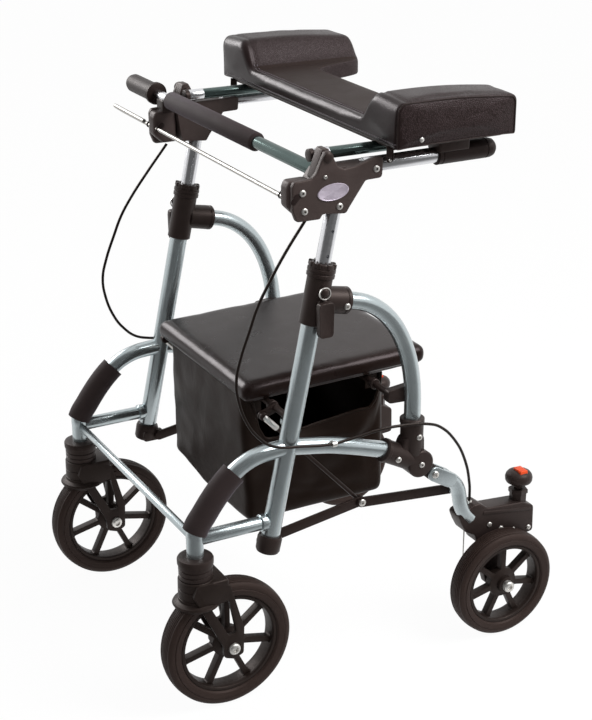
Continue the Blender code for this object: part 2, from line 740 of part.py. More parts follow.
def legs():
    """Folding leg, the two struts that stay it and the rod that links them to the seat."""
    leg = tube(leg_path(), LEG_R)
    half = LUG_THICK / 2 + GAP
    for sign in (-1, 1):
        cheek = prism(
            stadium(LEG_PIVOT, LEG_ROUTE[1], LUG_R),
            SIDE_X + sign * half,
            SIDE_X + sign * (half + CHEEK_THICK),
        )
        joined(leg, cheek)
    outer = half + CHEEK_THICK + 0.003
    joined(leg, bolt(*LEG_PIVOT, SIDE_X - outer, SIDE_X + outer, PIN_R, 16))
    pin_end = SIDE_X - LEG_R + 0.003
    boss_face = STRUT_BACK_X + STRUT_THICK / 2 + GAP
    joined(leg, bolt(*LEG_LUG, boss_face, pin_end, 0.007, 16))
    both(leg, "rear_leg", "painted tube", PAINTED, (SIDE_X, *LEG_PIVOT))

    thick = STRUT_THICK / 2
    front = prism(stadium(FOOT_PIVOT, KNEE, STRUT_WIDE / 2), STRUT_FRONT_X - thick, STRUT_FRONT_X + thick)
    both(front, "strut_front", "black steel", PLASTIC, (STRUT_FRONT_X, *FOOT_PIVOT))

    back = prism(stadium(KNEE, LEG_LUG, STRUT_WIDE / 2), STRUT_BACK_X - thick, STRUT_BACK_X + thick)
    joined(
        back,
        bolt(*KNEE, STRUT_BACK_X + 0.001, STRUT_BACK_X + thick + 0.003, 0.006),
        bolt(*LEG_LUG, STRUT_BACK_X - thick - 0.003, STRUT_BACK_X - 0.001, 0.006),
    )
    both(back, "strut_back", "black steel", PLASTIC, (STRUT_BACK_X, *LEG_LUG))

    foot_x = STRUT_FRONT_X - STRUT_THICK / 2 - GAP
    foot = Vector((foot_x - 0.004, *KNEE))
    top = Vector((LIFT_X, *LIFT_TOP))
    link = tube([top, foot], LIFT_ROD_R, 10)
    joined(link, bolt(*KNEE, foot_x - 0.008, foot_x, 0.006))
    joined(link, bolt(*LIFT_TOP, LIFT_X - 0.003, LIFT_X + 0.003, 0.006))
    both(link, "lift_rod", "chromed steel", CHROME, (foot_x - 0.004, *KNEE))


def wheel(prefix, centre_x, axle, radius, tyre_deep):
    """Tyre and spoked rim, both turning on the axle."""
    rim_radius = radius - tyre_deep
    centre = Vector((centre_x, *axle))
    wide = TYRE_WIDE / 2
    inside = rim_radius + GAP
    radius /= math.cos(math.pi / WHEEL_SIDES)
    step = radius - inside
    section = [
        (-wide * 0.8, inside), (-wide, inside + step * 0.60), (-wide * 0.6, radius),
        (wide * 0.6, radius), (wide, inside + step * 0.60), (wide * 0.8, inside),
    ]
    tyre = ring(section, centre, (1, 0, 0), WHEEL_SIDES, flat=True)
    both(tyre, prefix + "_tyre", "tyre rubber", RUBBER, centre)

    half = RIM_WIDE / 2
    bore = rim_radius - RIM_WALL
    rim = ring(
        [(-half, bore), (-half, rim_radius), (half, rim_radius), (half, bore)],
        centre,
        (1, 0, 0),
        WHEEL_SIDES,
        flat=True,
    )
    hub_half = TYRE_WIDE / 2 - 0.001
    hub = rod(centre - Vector((hub_half, 0, 0)), centre + Vector((hub_half, 0, 0)), HUB_R, 14)
    spokes = []
    for i in range(SPOKES):
        angle = 2 * math.pi * i / SPOKES + math.pi / 2
        out = Vector((0, math.cos(angle), math.sin(angle)))
        side = Vector((0, -out.z, out.y))
        rings = []
        for distance, share in ((HUB_R - 0.004, 1.15), (bore + 0.002, 0.85)):
            middle = centre + out * distance
            across = side * SPOKE_WIDE * share / 2
            deep = Vector((SPOKE_THICK / 2, 0, 0))
            near = middle - deep
            far = middle + deep
            rings.append([near - across, near + across, far + across, far - across])
        spokes.append(skin(rings))
    joined(rim, *spokes, hub)
    cut(rim, rod(centre - Vector((0.05, 0, 0)), centre + Vector((0.05, 0, 0)), AXLE_R + BORE_GAP, 12))
    both(rim, prefix + "_rim", "wheel plastic", PLASTIC, centre)


def castors():
    """Swivelling forks, each with its wheel."""
    wheel("castor", SIDE_X, CASTOR_AXLE, CASTOR_R, CASTOR_TYRE_DEEP)
    top = HEAD_FROM_Z - GAP
    crown = turned(
        [
            (0, FORK_R - 0.002), (0.002, FORK_R), (top - FORK_FROM_Z - 0.001, FORK_R),
            (top - FORK_FROM_Z, FORK_R - 0.001),
        ],
        in_frame(LEG_Y, FORK_FROM_Z),
        (0, 0, 1),
        16,
    )
    inner = TYRE_WIDE / 2 + TYRE_GAP
    axle_y, axle_z = CASTOR_AXLE
    arm = rounded(
        (
            (LEG_Y - 0.016, FORK_FROM_Z + 0.030), (axle_y - 0.0165, axle_z + 0.006),
            (axle_y - 0.0155, axle_z - 0.012), (axle_y, axle_z - 0.0175),
            (axle_y + 0.0155, axle_z - 0.012), (axle_y + 0.0170, axle_z + 0.030),
            (axle_y + 0.004, axle_z + 0.077), (axle_y - 0.004, top - 0.0117),
            (LEG_Y + 0.014, top - 0.001), (LEG_Y - 0.010, top - 0.001),
        ),
        0.006,
        1,
    )
    window = rounded(
        (
            (axle_y - 0.033, axle_z + 0.072), (axle_y - 0.009, axle_z + 0.030),
            (axle_y + 0.006, axle_z + 0.030), (axle_y - 0.006, axle_z + 0.078),
        ),
        0.004,
        1,
    )
    shoulder = block(
        (SIDE_X - inner - FORK_ARM, LEG_Y - 0.004, axle_z + CASTOR_R + TYRE_GAP),
        (SIDE_X + inner + FORK_ARM, axle_y - 0.006, top - 0.0005),
    )
    joined(crown, shoulder)
    for sign in (-1, 1):
        side = prism(arm, SIDE_X + sign * inner, SIDE_X + sign * (inner + FORK_ARM))
        opening = prism(window, SIDE_X + sign * (inner - 0.01), SIDE_X + sign * (inner + FORK_ARM + 0.01))
        joined(crown, cut(side, opening))
    cut(crown, bolt(*CASTOR_AXLE, SIDE_X - inner, SIDE_X + inner, CASTOR_R + TYRE_GAP, WHEEL_SIDES))
    far = inner + FORK_ARM + BOLT_THICK - 0.001
    joined(crown, bolt(*CASTOR_AXLE, SIDE_X - inner - 0.003, SIDE_X + inner + 0.003, AXLE_R))
    for sign in (-1, 1):
        joined(crown, bolt(*CASTOR_AXLE, SIDE_X + sign * (inner + 0.003), SIDE_X + sign * far, BOLT_R))
    both(crown, "castor_fork", "black plastic", PLASTIC, (SIDE_X, LEG_Y, FORK_FROM_Z))


def rear_wheels():
    wheel("rear", REAR_WHEEL_X, REAR_AXLE, REAR_R, REAR_TYRE_DEEP)
    body = prism(rounded(BRAKE_OUTLINE, 0.006, 1), BRAKE_FROM_X, BRAKE_TO_X)
    arm_to = REAR_WHEEL_X - TYRE_WIDE / 2 - TYRE_GAP
    outline = [*[(REAR_AXLE[0] + y, REAR_AXLE[1] + z) for y, z in AXLE_ARM], *AXLE_ARM_TOP]
    arm = prism(rounded(outline, 0.008, 1), arm_to - AXLE_ARM_THICK, arm_to)
    knob_at = Vector((ADJUSTER_X, *KNOB_AT))
    neck = rod(knob_at, (ADJUSTER_X, KNOB_AT[0], KNOB_FROM_Z - GAP), KNOB_NECK_R, 6)
    under = rod(knob_at - Vector((0, 0, 0.022)), knob_at, KNOB_NECK_R - 0.002, 16)
    adjuster_top = Vector((ADJUSTER_X, *ADJUSTER_AT))
    adjuster = rod(adjuster_top - Vector((0, 0, 0.0165)), adjuster_top, ADJUSTER_R, 12)
    far = REAR_WHEEL_X + TYRE_WIDE / 2 + BOLT_THICK + 0.0025
    wheel_face = REAR_WHEEL_X + TYRE_WIDE / 2 - 0.001 + GAP
    axle = bolt(*REAR_AXLE, arm_to - 0.004, wheel_face + 0.002, AXLE_R, 12)
    head = bolt(*REAR_AXLE, wheel_face, far, BOLT_R, 12)
    joined(body, arm, under, neck, adjuster, axle, head)
    socket = leg_path()[-5:]
    socket.append(socket[-1] * 1.03 - socket[-2] * 0.03)
    cut(body, tube(socket, LEG_R + BORE_GAP))
    both(body, "brake_housing", "black plastic", PLASTIC, (SIDE_X, *LEG_PIVOT))

    high = KNOB_TO_Z - KNOB_FROM_Z
    knob = turned(
        [
            (0, KNOB_R - 0.003), (0.003, KNOB_R), (high * 0.72, KNOB_R), (high * 0.80, KNOB_R - 0.003),
            (high * 0.93, KNOB_R * 0.62), (high, KNOB_R * 0.52),
        ],
        (ADJUSTER_X, KNOB_AT[0], KNOB_FROM_Z),
        (0, 0, 1),
        16,
    )
    both(knob, "brake_knob", "black plastic", PLASTIC, (ADJUSTER_X, KNOB_AT[0], KNOB_FROM_Z))


def bar_at(x):
    near = Vector((BAR_NEAR_X, *BAR_NEAR_AT))
    far = Vector((BAR_FAR_X, *BAR_FAR_AT))
    return near.lerp(far, (x - near.x) / (far.x - near.x))


def rod_slot(outer_x, inner_x, at):
    """Cutter for the straight slot in which the brake rod travels."""
    way = Vector(ROD_WAY).normalized()
    end = Vector(at) + way * ROD_TRAVEL
    return prism(stadium(at, end, ROD_R + 0.0006, 6), outer_x, inner_x)


def upper_part():
    """Everything on the two stems: housings, handles, push bar and brake rod."""
    stem = rod(on_main(STEM_FOOT_Z), on_main(STEM_TOP_Z), STEM_R, 16)
    both(stem, "stem", "chromed steel", CHROME)

    half = HOUSING_WIDE / 2
    left = prism(rounded(HOUSING, 0.006, 1), SIDE_X - half, SIDE_X + half)
    ear = prism(rounded(EAR, 0.004, 1), SIDE_X - EAR_WIDE / 2, SIDE_X + EAR_WIDE / 2)
    joined(left, ear)
    cut(
        left,
        rod(on_main(0.70), on_main(STEM_TOP_Z) + MAIN_WAY * GAP, STEM_R + BORE_GAP, 16),
        rod(in_frame(HANDLE_FROM_Y - GAP, HANDLE_Z), in_frame(0.05, HANDLE_Z), HANDLE_R + GAP, 16),
        bolt(*PAD_PIVOT, SIDE_X - 0.03, SIDE_X + 0.03, PIN_R + BORE_GAP, 14),
    )
    handle_housings(left, half)

    handle = rod(in_frame(HANDLE_FROM_Y, HANDLE_Z), in_frame(HANDLE_TO_Y, HANDLE_Z), HANDLE_R, 16)
    clip_from = in_frame(HANDLE_CLIP_FROM_Y, HANDLE_Z)
    clip_to = in_frame(HANDLE_CLIP_FROM_Y + HANDLE_CLIP_WIDE, HANDLE_Z)
    joined(handle, rod(clip_from, clip_to, HANDLE_R + HANDLE_CLIP_WALL))
    both(handle, "handle_tube", "chromed steel", CHROME)

    length = GRIP_TO_Y - GRIP_FROM_Y
    grip = turned(
        [
            (0, GRIP_R - 0.001), (0.001, GRIP_R), (length - 0.010, GRIP_R), (length - 0.004, GRIP_R * 0.86),
            (length - 0.001, GRIP_R * 0.6), (length, GRIP_R * 0.3),
        ],
        in_frame(GRIP_FROM_Y, HANDLE_Z),
        (0, 1, 0),
        16,
    )
    bore_end = in_frame(HANDLE_TO_Y + GAP, HANDLE_Z)
    cut(grip, rod(in_frame(GRIP_FROM_Y - 0.01, HANDLE_Z), bore_end, HANDLE_R + GAP))
    both(grip, "handle_grip", "moulded rubber", RUBBER)

    way = (bar_at(BAR_FAR_X) - bar_at(BAR_NEAR_X)).normalized()
    slant = math.hypot(way.y, way.z) / abs(way.x)
    near = bar_at(SIDE_X - half - GAP - BAR_R * slant)
    step = (bar_at(FOAM_TO_X + 0.002) - near).length
    stub = (bar_at(END_GRIP_FROM_X) - near).length
    last = (bar_at(BAR_FAR_X) - near).length
    bar = turned(
        [
            (0, BAR_R), (step - 0.001, BAR_R), (step, BAR_STUB_R), (stub, BAR_STUB_R),
            (stub + 0.0002, END_RING_R - 0.001), (stub + 0.001, END_RING_R), (stub + 0.007, END_RING_R),
            (stub + 0.010, END_GRIP_R + 0.0005), (last - 0.010, END_GRIP_R), (last - 0.003, END_GRIP_R * 0.8),
            (last, END_GRIP_R * 0.35),
        ],
        near,
        way,
        16,
    )
    place(bar, "push_bar", "teal tube", TEAL)
    length = (bar_at(FOAM_TO_X) - bar_at(FOAM_FROM_X)).length
    foam = turned(
        [(0, FOAM_R - 0.0015), (0.0015, FOAM_R), (length - 0.0015, FOAM_R), (length, FOAM_R - 0.0015)],
        bar_at(FOAM_FROM_X),
        way,
        16,
    )
    cut(foam, rod(bar_at(FOAM_FROM_X + 0.02), bar_at(FOAM_TO_X - 0.02), BAR_R + GAP, 16))
    place(foam, "push_bar_foam", "foam sleeve", FOAM)

    middle = (Vector(ROD_FRONT) + Vector(ROD_BACK)) / 2
    lever = (Vector(ROD_FRONT) - Vector(ROD_BACK)) / 2
    path = [Vector((ROD_NEAR_X, *ROD_BACK)), Vector((ROD_FAR_X + 0.02, *ROD_BACK))]
    for i in range(7):
        angle = math.pi * i / 6
        side = middle - lever * math.cos(angle)
        path.append(Vector((ROD_FAR_X + lever.length * (1 - math.sin(angle)), side.x, side.y)))
    path.append(Vector((-SIDE_X - 0.004, *ROD_FRONT)))
    place(tube(path, ROD_R, 8), "brake_rod", "chromed steel", CHROME, (0, *ROD_BACK))


def handle_housings(left, half):
    """Both upper housings. The rod's slots and the bar's saddle differ from side to side."""
    right = bpy.data.objects.new("piece", left.data.copy())
    bpy.context.scene.collection.objects.link(right)
    right.data.transform(Matrix.Scale(-1, 4, (1, 0, 0)))
    right.data.flip_normals()
    cut(left, rod_slot(SIDE_X - half - 0.01, ROD_NEAR_X + GAP, ROD_BACK))
    carry = bar_at(-SIDE_X)
    saddle = block(
        (-SIDE_X - 0.012, carry.y - 0.011, carry.z - 0.025),
        (-SIDE_X + 0.012, carry.y + 0.009, carry.z - 0.001),
    )
    joined(right, saddle)
    cut(
        right,
        rod_slot(-SIDE_X - half - 0.01, -SIDE_X + half + 0.01, ROD_BACK),
        rod_slot(-SIDE_X - half - 0.01, -SIDE_X - 0.004 + GAP, ROD_FRONT),
        rod(bar_at(-0.19), bar_at(-0.26), BAR_STUB_R + GAP, 16),
    )
    place(left, "handle_housing_left", "black plastic", PLASTIC)
    place(right, "handle_housing_right", "black plastic", PLASTIC)


def smooth(t):
    t = min(1.0, max(0.0, t))
    return t * t * (3 - 2 * t)


def even_outline(outline, count):
    """Count points spread evenly along a closed outline, the first at its first corner."""
    points = [Vector(point) for point in outline]
    sides = [(points[(i + 1) % len(points)] - points[i]).length for i in range(len(points))]
    total = sum(sides)
    even = []
    for i in range(count):
        wanted = total * i / count
        place_at = 0
        while wanted > sides[place_at]:
            wanted -= sides[place_at]
            place_at += 1
        start = points[place_at]
        end = points[(place_at + 1) % len(points)]
        even.append(start.lerp(end, wanted / sides[place_at]))
    return even


def soft_body(stations, count=28):
    """A padded form: each station is (x, closed outline in Y and Z)."""
    return skin([[Vector((x, p.x, p.y)) for p in even_outline(outline, count)] for x, outline in stations])


def pad():
    """Forearm pad: a low bed between two wings that rise in rolled curves."""
    under = PAD_BED[0][1]
    bed = even_outline(rounded(PAD_BED, 0.008, 3), 24)
    wing = even_outline(rounded(PAD_WING, 0.016, 3), 24)
    stations = []
    places = (
        -1.0, -0.985, -0.955, -0.91, -0.84, -0.76, -0.70, -0.65, -0.60, -0.54, -0.32, 0.0,
    )
    places = [*places, *[-t for t in reversed(places[:-1])]]
    for t in places:
        x = abs(t) * PAD_HALF
        rise = smooth((x - PAD_BED_HALF) / (PAD_WING_FROM - PAD_BED_HALF))
        back = smooth((x - PAD_BED_HALF - 0.008) / 0.036)
        crown = PAD_CROWN * math.cos(math.pi / 2 * min(1.0, x / PAD_BED_HALF)) * (1 - rise)
        edge = max(0.0, (x - (PAD_HALF - PAD_ROLL)) / PAD_ROLL)
        inset = 0.012 * (1 - math.sqrt(max(0.0, 1 - edge * edge)))
        outline = []
        middle = Vector(PAD_MIDDLE)
        for low, high in zip(bed, wing):
            y = low.x + (high.x - low.x) * back
            z = low.y + (high.y - low.y) * rise
            if z > under + 0.012:
                share = (y - PAD_BED[0][0]) / (PAD_BED[1][0] - PAD_BED[0][0])
                z += crown * math.sin(math.pi * min(1.0, max(0.0, share)))
            point = Vector((y, z))
            outward = middle - point
            point += outward.normalized() * min(inset, outward.length * 0.5)
            outline.append((point.x, max(under, point.y)))
        stations.append((t * PAD_HALF, outline))
    body = skin([[Vector((x, y, z)) for y, z in outline] for x, outline in stations])
    place(body, "arm_pad", "pebbled leatherette", LEATHER, (0, *PAD_PIVOT))

    start = PAD_PIVOT[0] - 0.009
    arm = turned(
        [
            (0, PAD_ARM_R + 0.0010), (0.008, PAD_ARM_R + 0.0010), (0.0081, PAD_ARM_R),
            (PAD_ARM_TO_Y - start, PAD_ARM_R),
        ],
        (PAD_ARM_X, start, PAD_PIVOT[1] - GAP),
        (0, 1, 0),
        12,
    )
    top = under - GAP
    plate = block((PAD_ARM_X - 0.004, SADDLE_Y[0] + 0.004, top - 0.005), (SIDE_X, SADDLE_Y[1] - 0.004, top))
    saddle = block((SIDE_X - 0.0165, SADDLE_Y[0], SADDLE_Z), (SIDE_X + 0.0165, SADDLE_Y[1], top), 0.001)
    joined(arm, plate, saddle, bolt(*PAD_PIVOT, PAD_ARM_X, SIDE_X + EAR_WIDE / 2 + 0.004, PIN_R, 14))
    grip = rod(in_frame(SADDLE_Y[0] - 0.01, HANDLE_Z), in_frame(SADDLE_Y[1] + 0.01, HANDLE_Z), GRIP_R + GAP)
    cut(arm, grip)
    both(arm, "pad_arm", "teal tube", TEAL, (PAD_ARM_X, *PAD_PIVOT))


def seat_under(y):
    """Height of the seat's underside, which rises a little toward the back."""
    return SEAT_UNDER_Z + SEAT_RISE * (y - SEAT_FRONT_Y) / (SEAT_BACK_Y - SEAT_FRONT_Y)


def seat():
    """Seat cushion, the rod frame that carries it and the bag hung below."""
    stations = []
    for t in (-1.0, -0.985, -0.95, -0.89, -0.75, -0.4, 0.0, 0.4, 0.75, 0.89, 0.95, 0.985, 1.0):
        edge = max(0.0, (abs(t) - 0.92) / 0.08)
        inset = 0.009 * (1 - math.sqrt(max(0.0, 1 - edge * edge)))
        front = SEAT_FRONT_Y + inset
        back = SEAT_BACK_Y - inset
        low = seat_under(front) + inset * 0.6
        high = low + SEAT_THICK - 0.0035 * t * t - inset * 1.6
        middle = ((front + back) / 2, high + 0.5 * SEAT_RISE + 0.002)
        outline = ((front, low), (back, low + SEAT_RISE), (back, high + SEAT_RISE), middle, (front, high))
        stations.append((t * SEAT_HALF, rounded(outline, 0.009, 4)))
    place(soft_body(stations, 24), "seat_cushion", "pebbled leatherette", LEATHER, (0, *SEAT_HINGE))

    hinge_y, hinge_z = SEAT_HINGE
    front_y = main_y(hinge_z)
    frame = bolt(hinge_y, hinge_z, -SEAT_REACH_X, SEAT_REACH_X, SEAT_ROD_R, 8)
    joined(frame, bolt(front_y, hinge_z, -SEAT_REACH_X, SEAT_REACH_X, SEAT_ROD_R, 8))
    for sign in (-1, 1):
        rail_x = sign * SEAT_RAIL_X
        ends = (SEAT_FRONT_Y + SEAT_RAIL_SHORT, SEAT_BACK_Y - SEAT_RAIL_SHORT)
        rail_from, rail_to = ((rail_x, y, seat_under(y) - GAP - SEAT_RAIL_R) for y in ends)
        rail = rod(rail_from, rail_to, SEAT_RAIL_R, 8)
        lug_x = sign * (LIFT_X - 0.003 - GAP)
        lug = prism(stadium(LIFT_TOP, (front_y, hinge_z), 0.0065), lug_x - sign * 0.004, lug_x)
        joined(frame, rail, lug)
    place(frame, "seat_frame", "chromed steel", CHROME, (0, *SEAT_HINGE))

    top = hinge_z - SEAT_ROD_R - GAP
    outer = []
    inner = []
    for share in (0.0, 0.03, 0.12, 0.35, 0.7, 1.0):
        low = 0.5 * (BAG_FLOOR_FRONT_Z + BAG_FLOOR_BACK_Z)
        z = low + (top - low) * share
        pull = 0.016 * (1 - min(1.0, share / 0.12)) ** 2
        bulge = 0.004 * math.sin(math.pi * share)
        slope = (BAG_FLOOR_BACK_Z - BAG_FLOOR_FRONT_Z) / (BAG_BACK_Y - BAG_FRONT_Y) * (1 - share)
        for rings, wall, lift in ((outer, 0.0, 0.0), (inner, BAG_WALL, BAG_WALL)):
            half = BAG_HALF - pull + bulge - wall - 0.004
            front = BAG_FRONT_Y + pull - bulge + wall + 0.004
            back = BAG_BACK_Y - pull + bulge - wall - 0.004
            corners = rounded(((-half, front), (half, front), (half, back), (-half, back)), 0.02, 3)
            height = z + lift * (1 - share) + (0.01 if wall and share == 1.0 else 0.0)
            middle = (BAG_FRONT_Y + BAG_BACK_Y) / 2
            rings.append([Vector((x, y, height + slope * (y - middle))) for x, y in corners])
    bag = skin(outer)
    cut(bag, skin(inner))
    place(bag, "bag", "bag cloth", CLOTH, (0, *SEAT_HINGE))


def cables():
    """Brake cable on each side: housing to clip, and clip to adjuster."""
    for name, route in (("cable_upper", CABLE_UPPER), ("cable_lower", CABLE_LOWER)):
        for side, sign in (("left", 1), ("right", -1)):
            curve = bpy.data.curves.new(name, "CURVE")
            curve.dimensions = "3D"
            curve.bevel_depth = CABLE_R
            curve.bevel_resolution = 2
            curve.use_fill_caps = True
            points = through(cable_route(route), CABLE_STEP)
            spline = curve.splines.new("POLY")
            spline.points.add(len(points) - 1)
            for spot, point in zip(spline.points, points):
                spot.co = (sign * point.x, point.y, point.z, 1.0)
            cable = bpy.data.objects.new(name, curve)
            bpy.context.scene.collection.objects.link(cable)
            place(cable, f"{name}_{side}", "cable sheath", RUBBER)


clear_scene()
walker = bpy.data.objects.new("walker", None)
bpy.context.scene.collection.objects.link(walker)
left_most = REAR_WHEEL_X + TYRE_WIDE / 2 + BOLT_THICK + 0.0025
walker.location = (-(left_most + ROD_FAR_X - ROD_R) / 2, 0, -FLOOR_Z)
frame_tubes()
bumpers()
collars()
leg_joints()
legs()
castors()
rear_wheels()
upper_part()
pad()
seat()
cables()
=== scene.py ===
# %% [markdown]
# A four-wheeled walker with a raised forearm pad, a lifting seat and a bag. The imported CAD
# model gives every place and size; this file makes the surfaces that are seen over it.
# It is written as a lesson: each step first says what the real piece is and why it is made
# the way it is, then a short cell makes it.

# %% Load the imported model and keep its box
import math

import bpy
from mathutils import Matrix, Vector, kdtree, noise


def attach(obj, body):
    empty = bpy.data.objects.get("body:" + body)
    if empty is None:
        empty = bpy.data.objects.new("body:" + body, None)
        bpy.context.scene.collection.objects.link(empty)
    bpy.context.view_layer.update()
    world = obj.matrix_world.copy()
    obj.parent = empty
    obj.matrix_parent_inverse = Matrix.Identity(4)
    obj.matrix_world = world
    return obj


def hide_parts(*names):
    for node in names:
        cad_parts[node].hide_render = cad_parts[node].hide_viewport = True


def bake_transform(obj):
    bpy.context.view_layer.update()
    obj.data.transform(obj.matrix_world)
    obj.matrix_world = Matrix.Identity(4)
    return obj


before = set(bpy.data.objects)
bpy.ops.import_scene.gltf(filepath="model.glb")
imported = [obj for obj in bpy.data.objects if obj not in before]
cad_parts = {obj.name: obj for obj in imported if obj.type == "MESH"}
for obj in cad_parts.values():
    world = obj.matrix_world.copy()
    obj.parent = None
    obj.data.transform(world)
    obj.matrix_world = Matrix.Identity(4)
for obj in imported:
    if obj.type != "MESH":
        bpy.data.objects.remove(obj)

for startup in ("Cube", "Light", "Camera"):
    if startup in bpy.data.objects:
        bpy.data.objects.remove(bpy.data.objects[startup])
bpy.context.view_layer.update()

# %% [markdown]
# The side frames stand 444 mm apart. The push bar runs out past the right side only, so the
# middle of the side frames is not the middle of the object: MID says how far off it is.
# Pieces are drawn as if the side frames' middle were x = 0, and moved over when finished.

# %% Places that many pieces share, in metres
MID = 0.03735
SIDE = 0.222
MAIN_LEAN = 0.2095
MAIN_WAY = Vector((0, MAIN_LEAN, 1)).normalized()
CROSSING = (-0.1244, 0.387)


def main_y(z):
    """Where the leaning main tube is at a height. It meets the lower arch at the crossing."""
    return CROSSING[0] + (z - CROSSING[1]) * MAIN_LEAN


def on_main(z):
    """The left main tube's middle line at a height."""
    return Vector((SIDE, main_y(z), z))


print("the main tube leans", round(math.degrees(math.atan(MAIN_LEAN)), 1), "degrees")

# %% [markdown]
# Nearly every tool in Blender acts on what is selected, and the CAD nodes come in selected.
# So one helper first leaves a single object selected. A second one does what is done after
# every rough shape: merge the double points, drop what is loose and turn all faces outwards.
# The others apply a modifier, round the edges, join shapes, copy one and cut one with another.

# %% Helpers to select, sew, apply, join, copy and cut


def alone(obj):
    """Only this object is selected, and it is active."""
    bpy.ops.object.select_all(action="DESELECT")
    obj.select_set(True)
    bpy.context.view_layer.objects.active = obj
    return obj


def sewn(obj, merge=0.000004):
    """Double points merged, loose ones dropped, faces turned outwards."""
    alone(obj)
    bpy.ops.object.mode_set(mode="EDIT")
    bpy.ops.mesh.select_all(action="SELECT")
    bpy.ops.mesh.remove_doubles(threshold=merge)
    bpy.ops.mesh.delete_loose()
    bpy.ops.mesh.select_all(action="SELECT")
    bpy.ops.mesh.normals_make_consistent(inside=False)
    bpy.ops.object.mode_set(mode="OBJECT")
    return obj


def applied(obj, kind, **settings):
    """A modifier with these settings, applied at once."""
    alone(obj)
    modifier = obj.modifiers.new(kind.title(), kind)
    for name, value in settings.items():
        setattr(modifier, name, value)
    bpy.ops.object.modifier_apply(modifier=modifier.name)
    return obj


def eased_edges(obj, width, segments=3, angle=32):
    """Every edge sharper than the angle is rounded, as a mould or a file leaves it."""
    return applied(
        obj, "BEVEL", width=width, segments=segments, limit_method="ANGLE",
        angle_limit=math.radians(angle),
    )


def joined(*objects):
    """Several closed shapes made one piece."""
    bpy.ops.object.select_all(action="DESELECT")
    for obj in objects:
        obj.select_set(True)
    bpy.context.view_layer.objects.active = objects[0]
    bpy.ops.object.join()
    return objects[0]


def copied(obj, name):
    """Another object, with its own copy of the mesh."""
    twin = bpy.data.objects.new(name, obj.data.copy())
    bpy.context.scene.collection.objects.link(twin)
    return twin


def cut(obj, cutter):
    """The cutter's shape taken out of the object, and the cutter thrown away."""
    applied(obj, "BOOLEAN", object=cutter, operation="DIFFERENCE", solver="EXACT")
    bpy.data.objects.remove(cutter)
    return obj


print("helpers ready")

# %% [markdown]
# The walker is made in three ways: bent tube, turned parts and flat moulded parts. A tube is
# a Bezier curve with a round section. A turned part is a closed outline spun about its axis,
# as on a lathe. A flat part is an outline given a thickness, with its rims rounded.

# %% Bent tube, turned part, flat part and block


def rounded(outline, radius, steps=4):
    """The outline with an arc at each corner, smaller where a side is short."""
    points = [Vector(point) for point in outline]
    arcs = []
    for i, corner in enumerate(points):
        before = points[i - 1] - corner
        after = points[(i + 1) % len(points)] - corner
        angle = before.angle(after)
        if angle > math.radians(172):
            arcs.append(corner)
            continue
        reach = min(radius / math.tan(angle / 2), 0.48 * before.length, 0.48 * after.length)
        start = corner + before.normalized() * reach
        end = corner + after.normalized() * reach
        for step in range(steps + 1):
            t = step / steps
            arcs.append((1 - t) ** 2 * start + 2 * t * (1 - t) * corner + t * t * end)
    return [tuple(point) for point in arcs]


def outline_of(points):
    """A filled circle primitive whose corners are moved to the points."""
    bpy.ops.object.select_all(action="DESELECT")
    bpy.ops.mesh.primitive_circle_add(vertices=len(points), fill_type="NGON")
    obj = bpy.context.object
    for vertex, point in zip(obj.data.vertices, points):
        vertex.co = point
    return obj


def pipe(points, radius, sides=24, steps=6):
    """A bent tube through the points, with closed ends."""
    bpy.ops.object.select_all(action="DESELECT")
    bpy.ops.curve.primitive_bezier_curve_add()
    obj = bpy.context.object
    spline = obj.data.splines[0]
    spline.bezier_points.add(len(points) - 2)
    for knot, point in zip(spline.bezier_points, points):
        knot.co = point
        knot.handle_left_type = "AUTO"
        knot.handle_right_type = "AUTO"
    obj.data.dimensions = "3D"
    obj.data.resolution_u = steps
    obj.data.bevel_depth = radius
    obj.data.bevel_resolution = sides // 2 - 2
    obj.data.use_fill_caps = True
    alone(obj)
    bpy.ops.object.convert(target="MESH")
    return sewn(bpy.context.object)


def turned(outline, base, way, steps=36):
    """A closed outline of (height, radius) points spun about the line from base along way."""
    base = Vector(base)
    way = Vector(way).normalized()
    across = way.orthogonal().normalized()
    obj = outline_of([base + height * way + radius * across for height, radius in outline])
    bpy.ops.object.mode_set(mode="EDIT")
    bpy.ops.mesh.select_all(action="SELECT")
    bpy.ops.mesh.delete(type="ONLY_FACE")
    bpy.ops.mesh.select_all(action="SELECT")
    bpy.ops.mesh.spin(steps=steps, angle=2 * math.pi, center=base, axis=way)
    bpy.ops.object.mode_set(mode="OBJECT")
    return sewn(obj)


def bar(start, end, radius, ease=0.0008, steps=32):
    """A straight round bar with eased ends."""
    length = (Vector(end) - Vector(start)).length
    outline = [
        (0, 0), (0, radius - ease), (ease * 0.4, radius - ease * 0.3), (ease, radius),
        (length - ease, radius), (length - ease * 0.4, radius - ease * 0.3),
        (length, radius - ease), (length, 0),
    ]
    return turned(outline, start, Vector(end) - Vector(start), steps)


def plate(outline, from_x, to_x, ease=0.0015, segments=3):
    """A flat shape of (y, z) corners with a thickness along X and rounded rims."""
    obj = outline_of([(from_x, y, z) for y, z in outline])
    bpy.ops.object.mode_set(mode="EDIT")
    bpy.ops.mesh.select_all(action="SELECT")
    bpy.ops.mesh.extrude_region_move(TRANSFORM_OT_translate={"value": (to_x - from_x, 0, 0)})
    bpy.ops.object.mode_set(mode="OBJECT")
    sewn(obj)
    return eased_edges(obj, ease, segments) if ease else obj


def block(low, high, ease=0.0015):
    """A rounded block between two corners."""
    outline = ((low[1], low[2]), (high[1], low[2]), (high[1], high[2]), (low[1], high[2]))
    return plate(outline, low[0], high[0], ease)


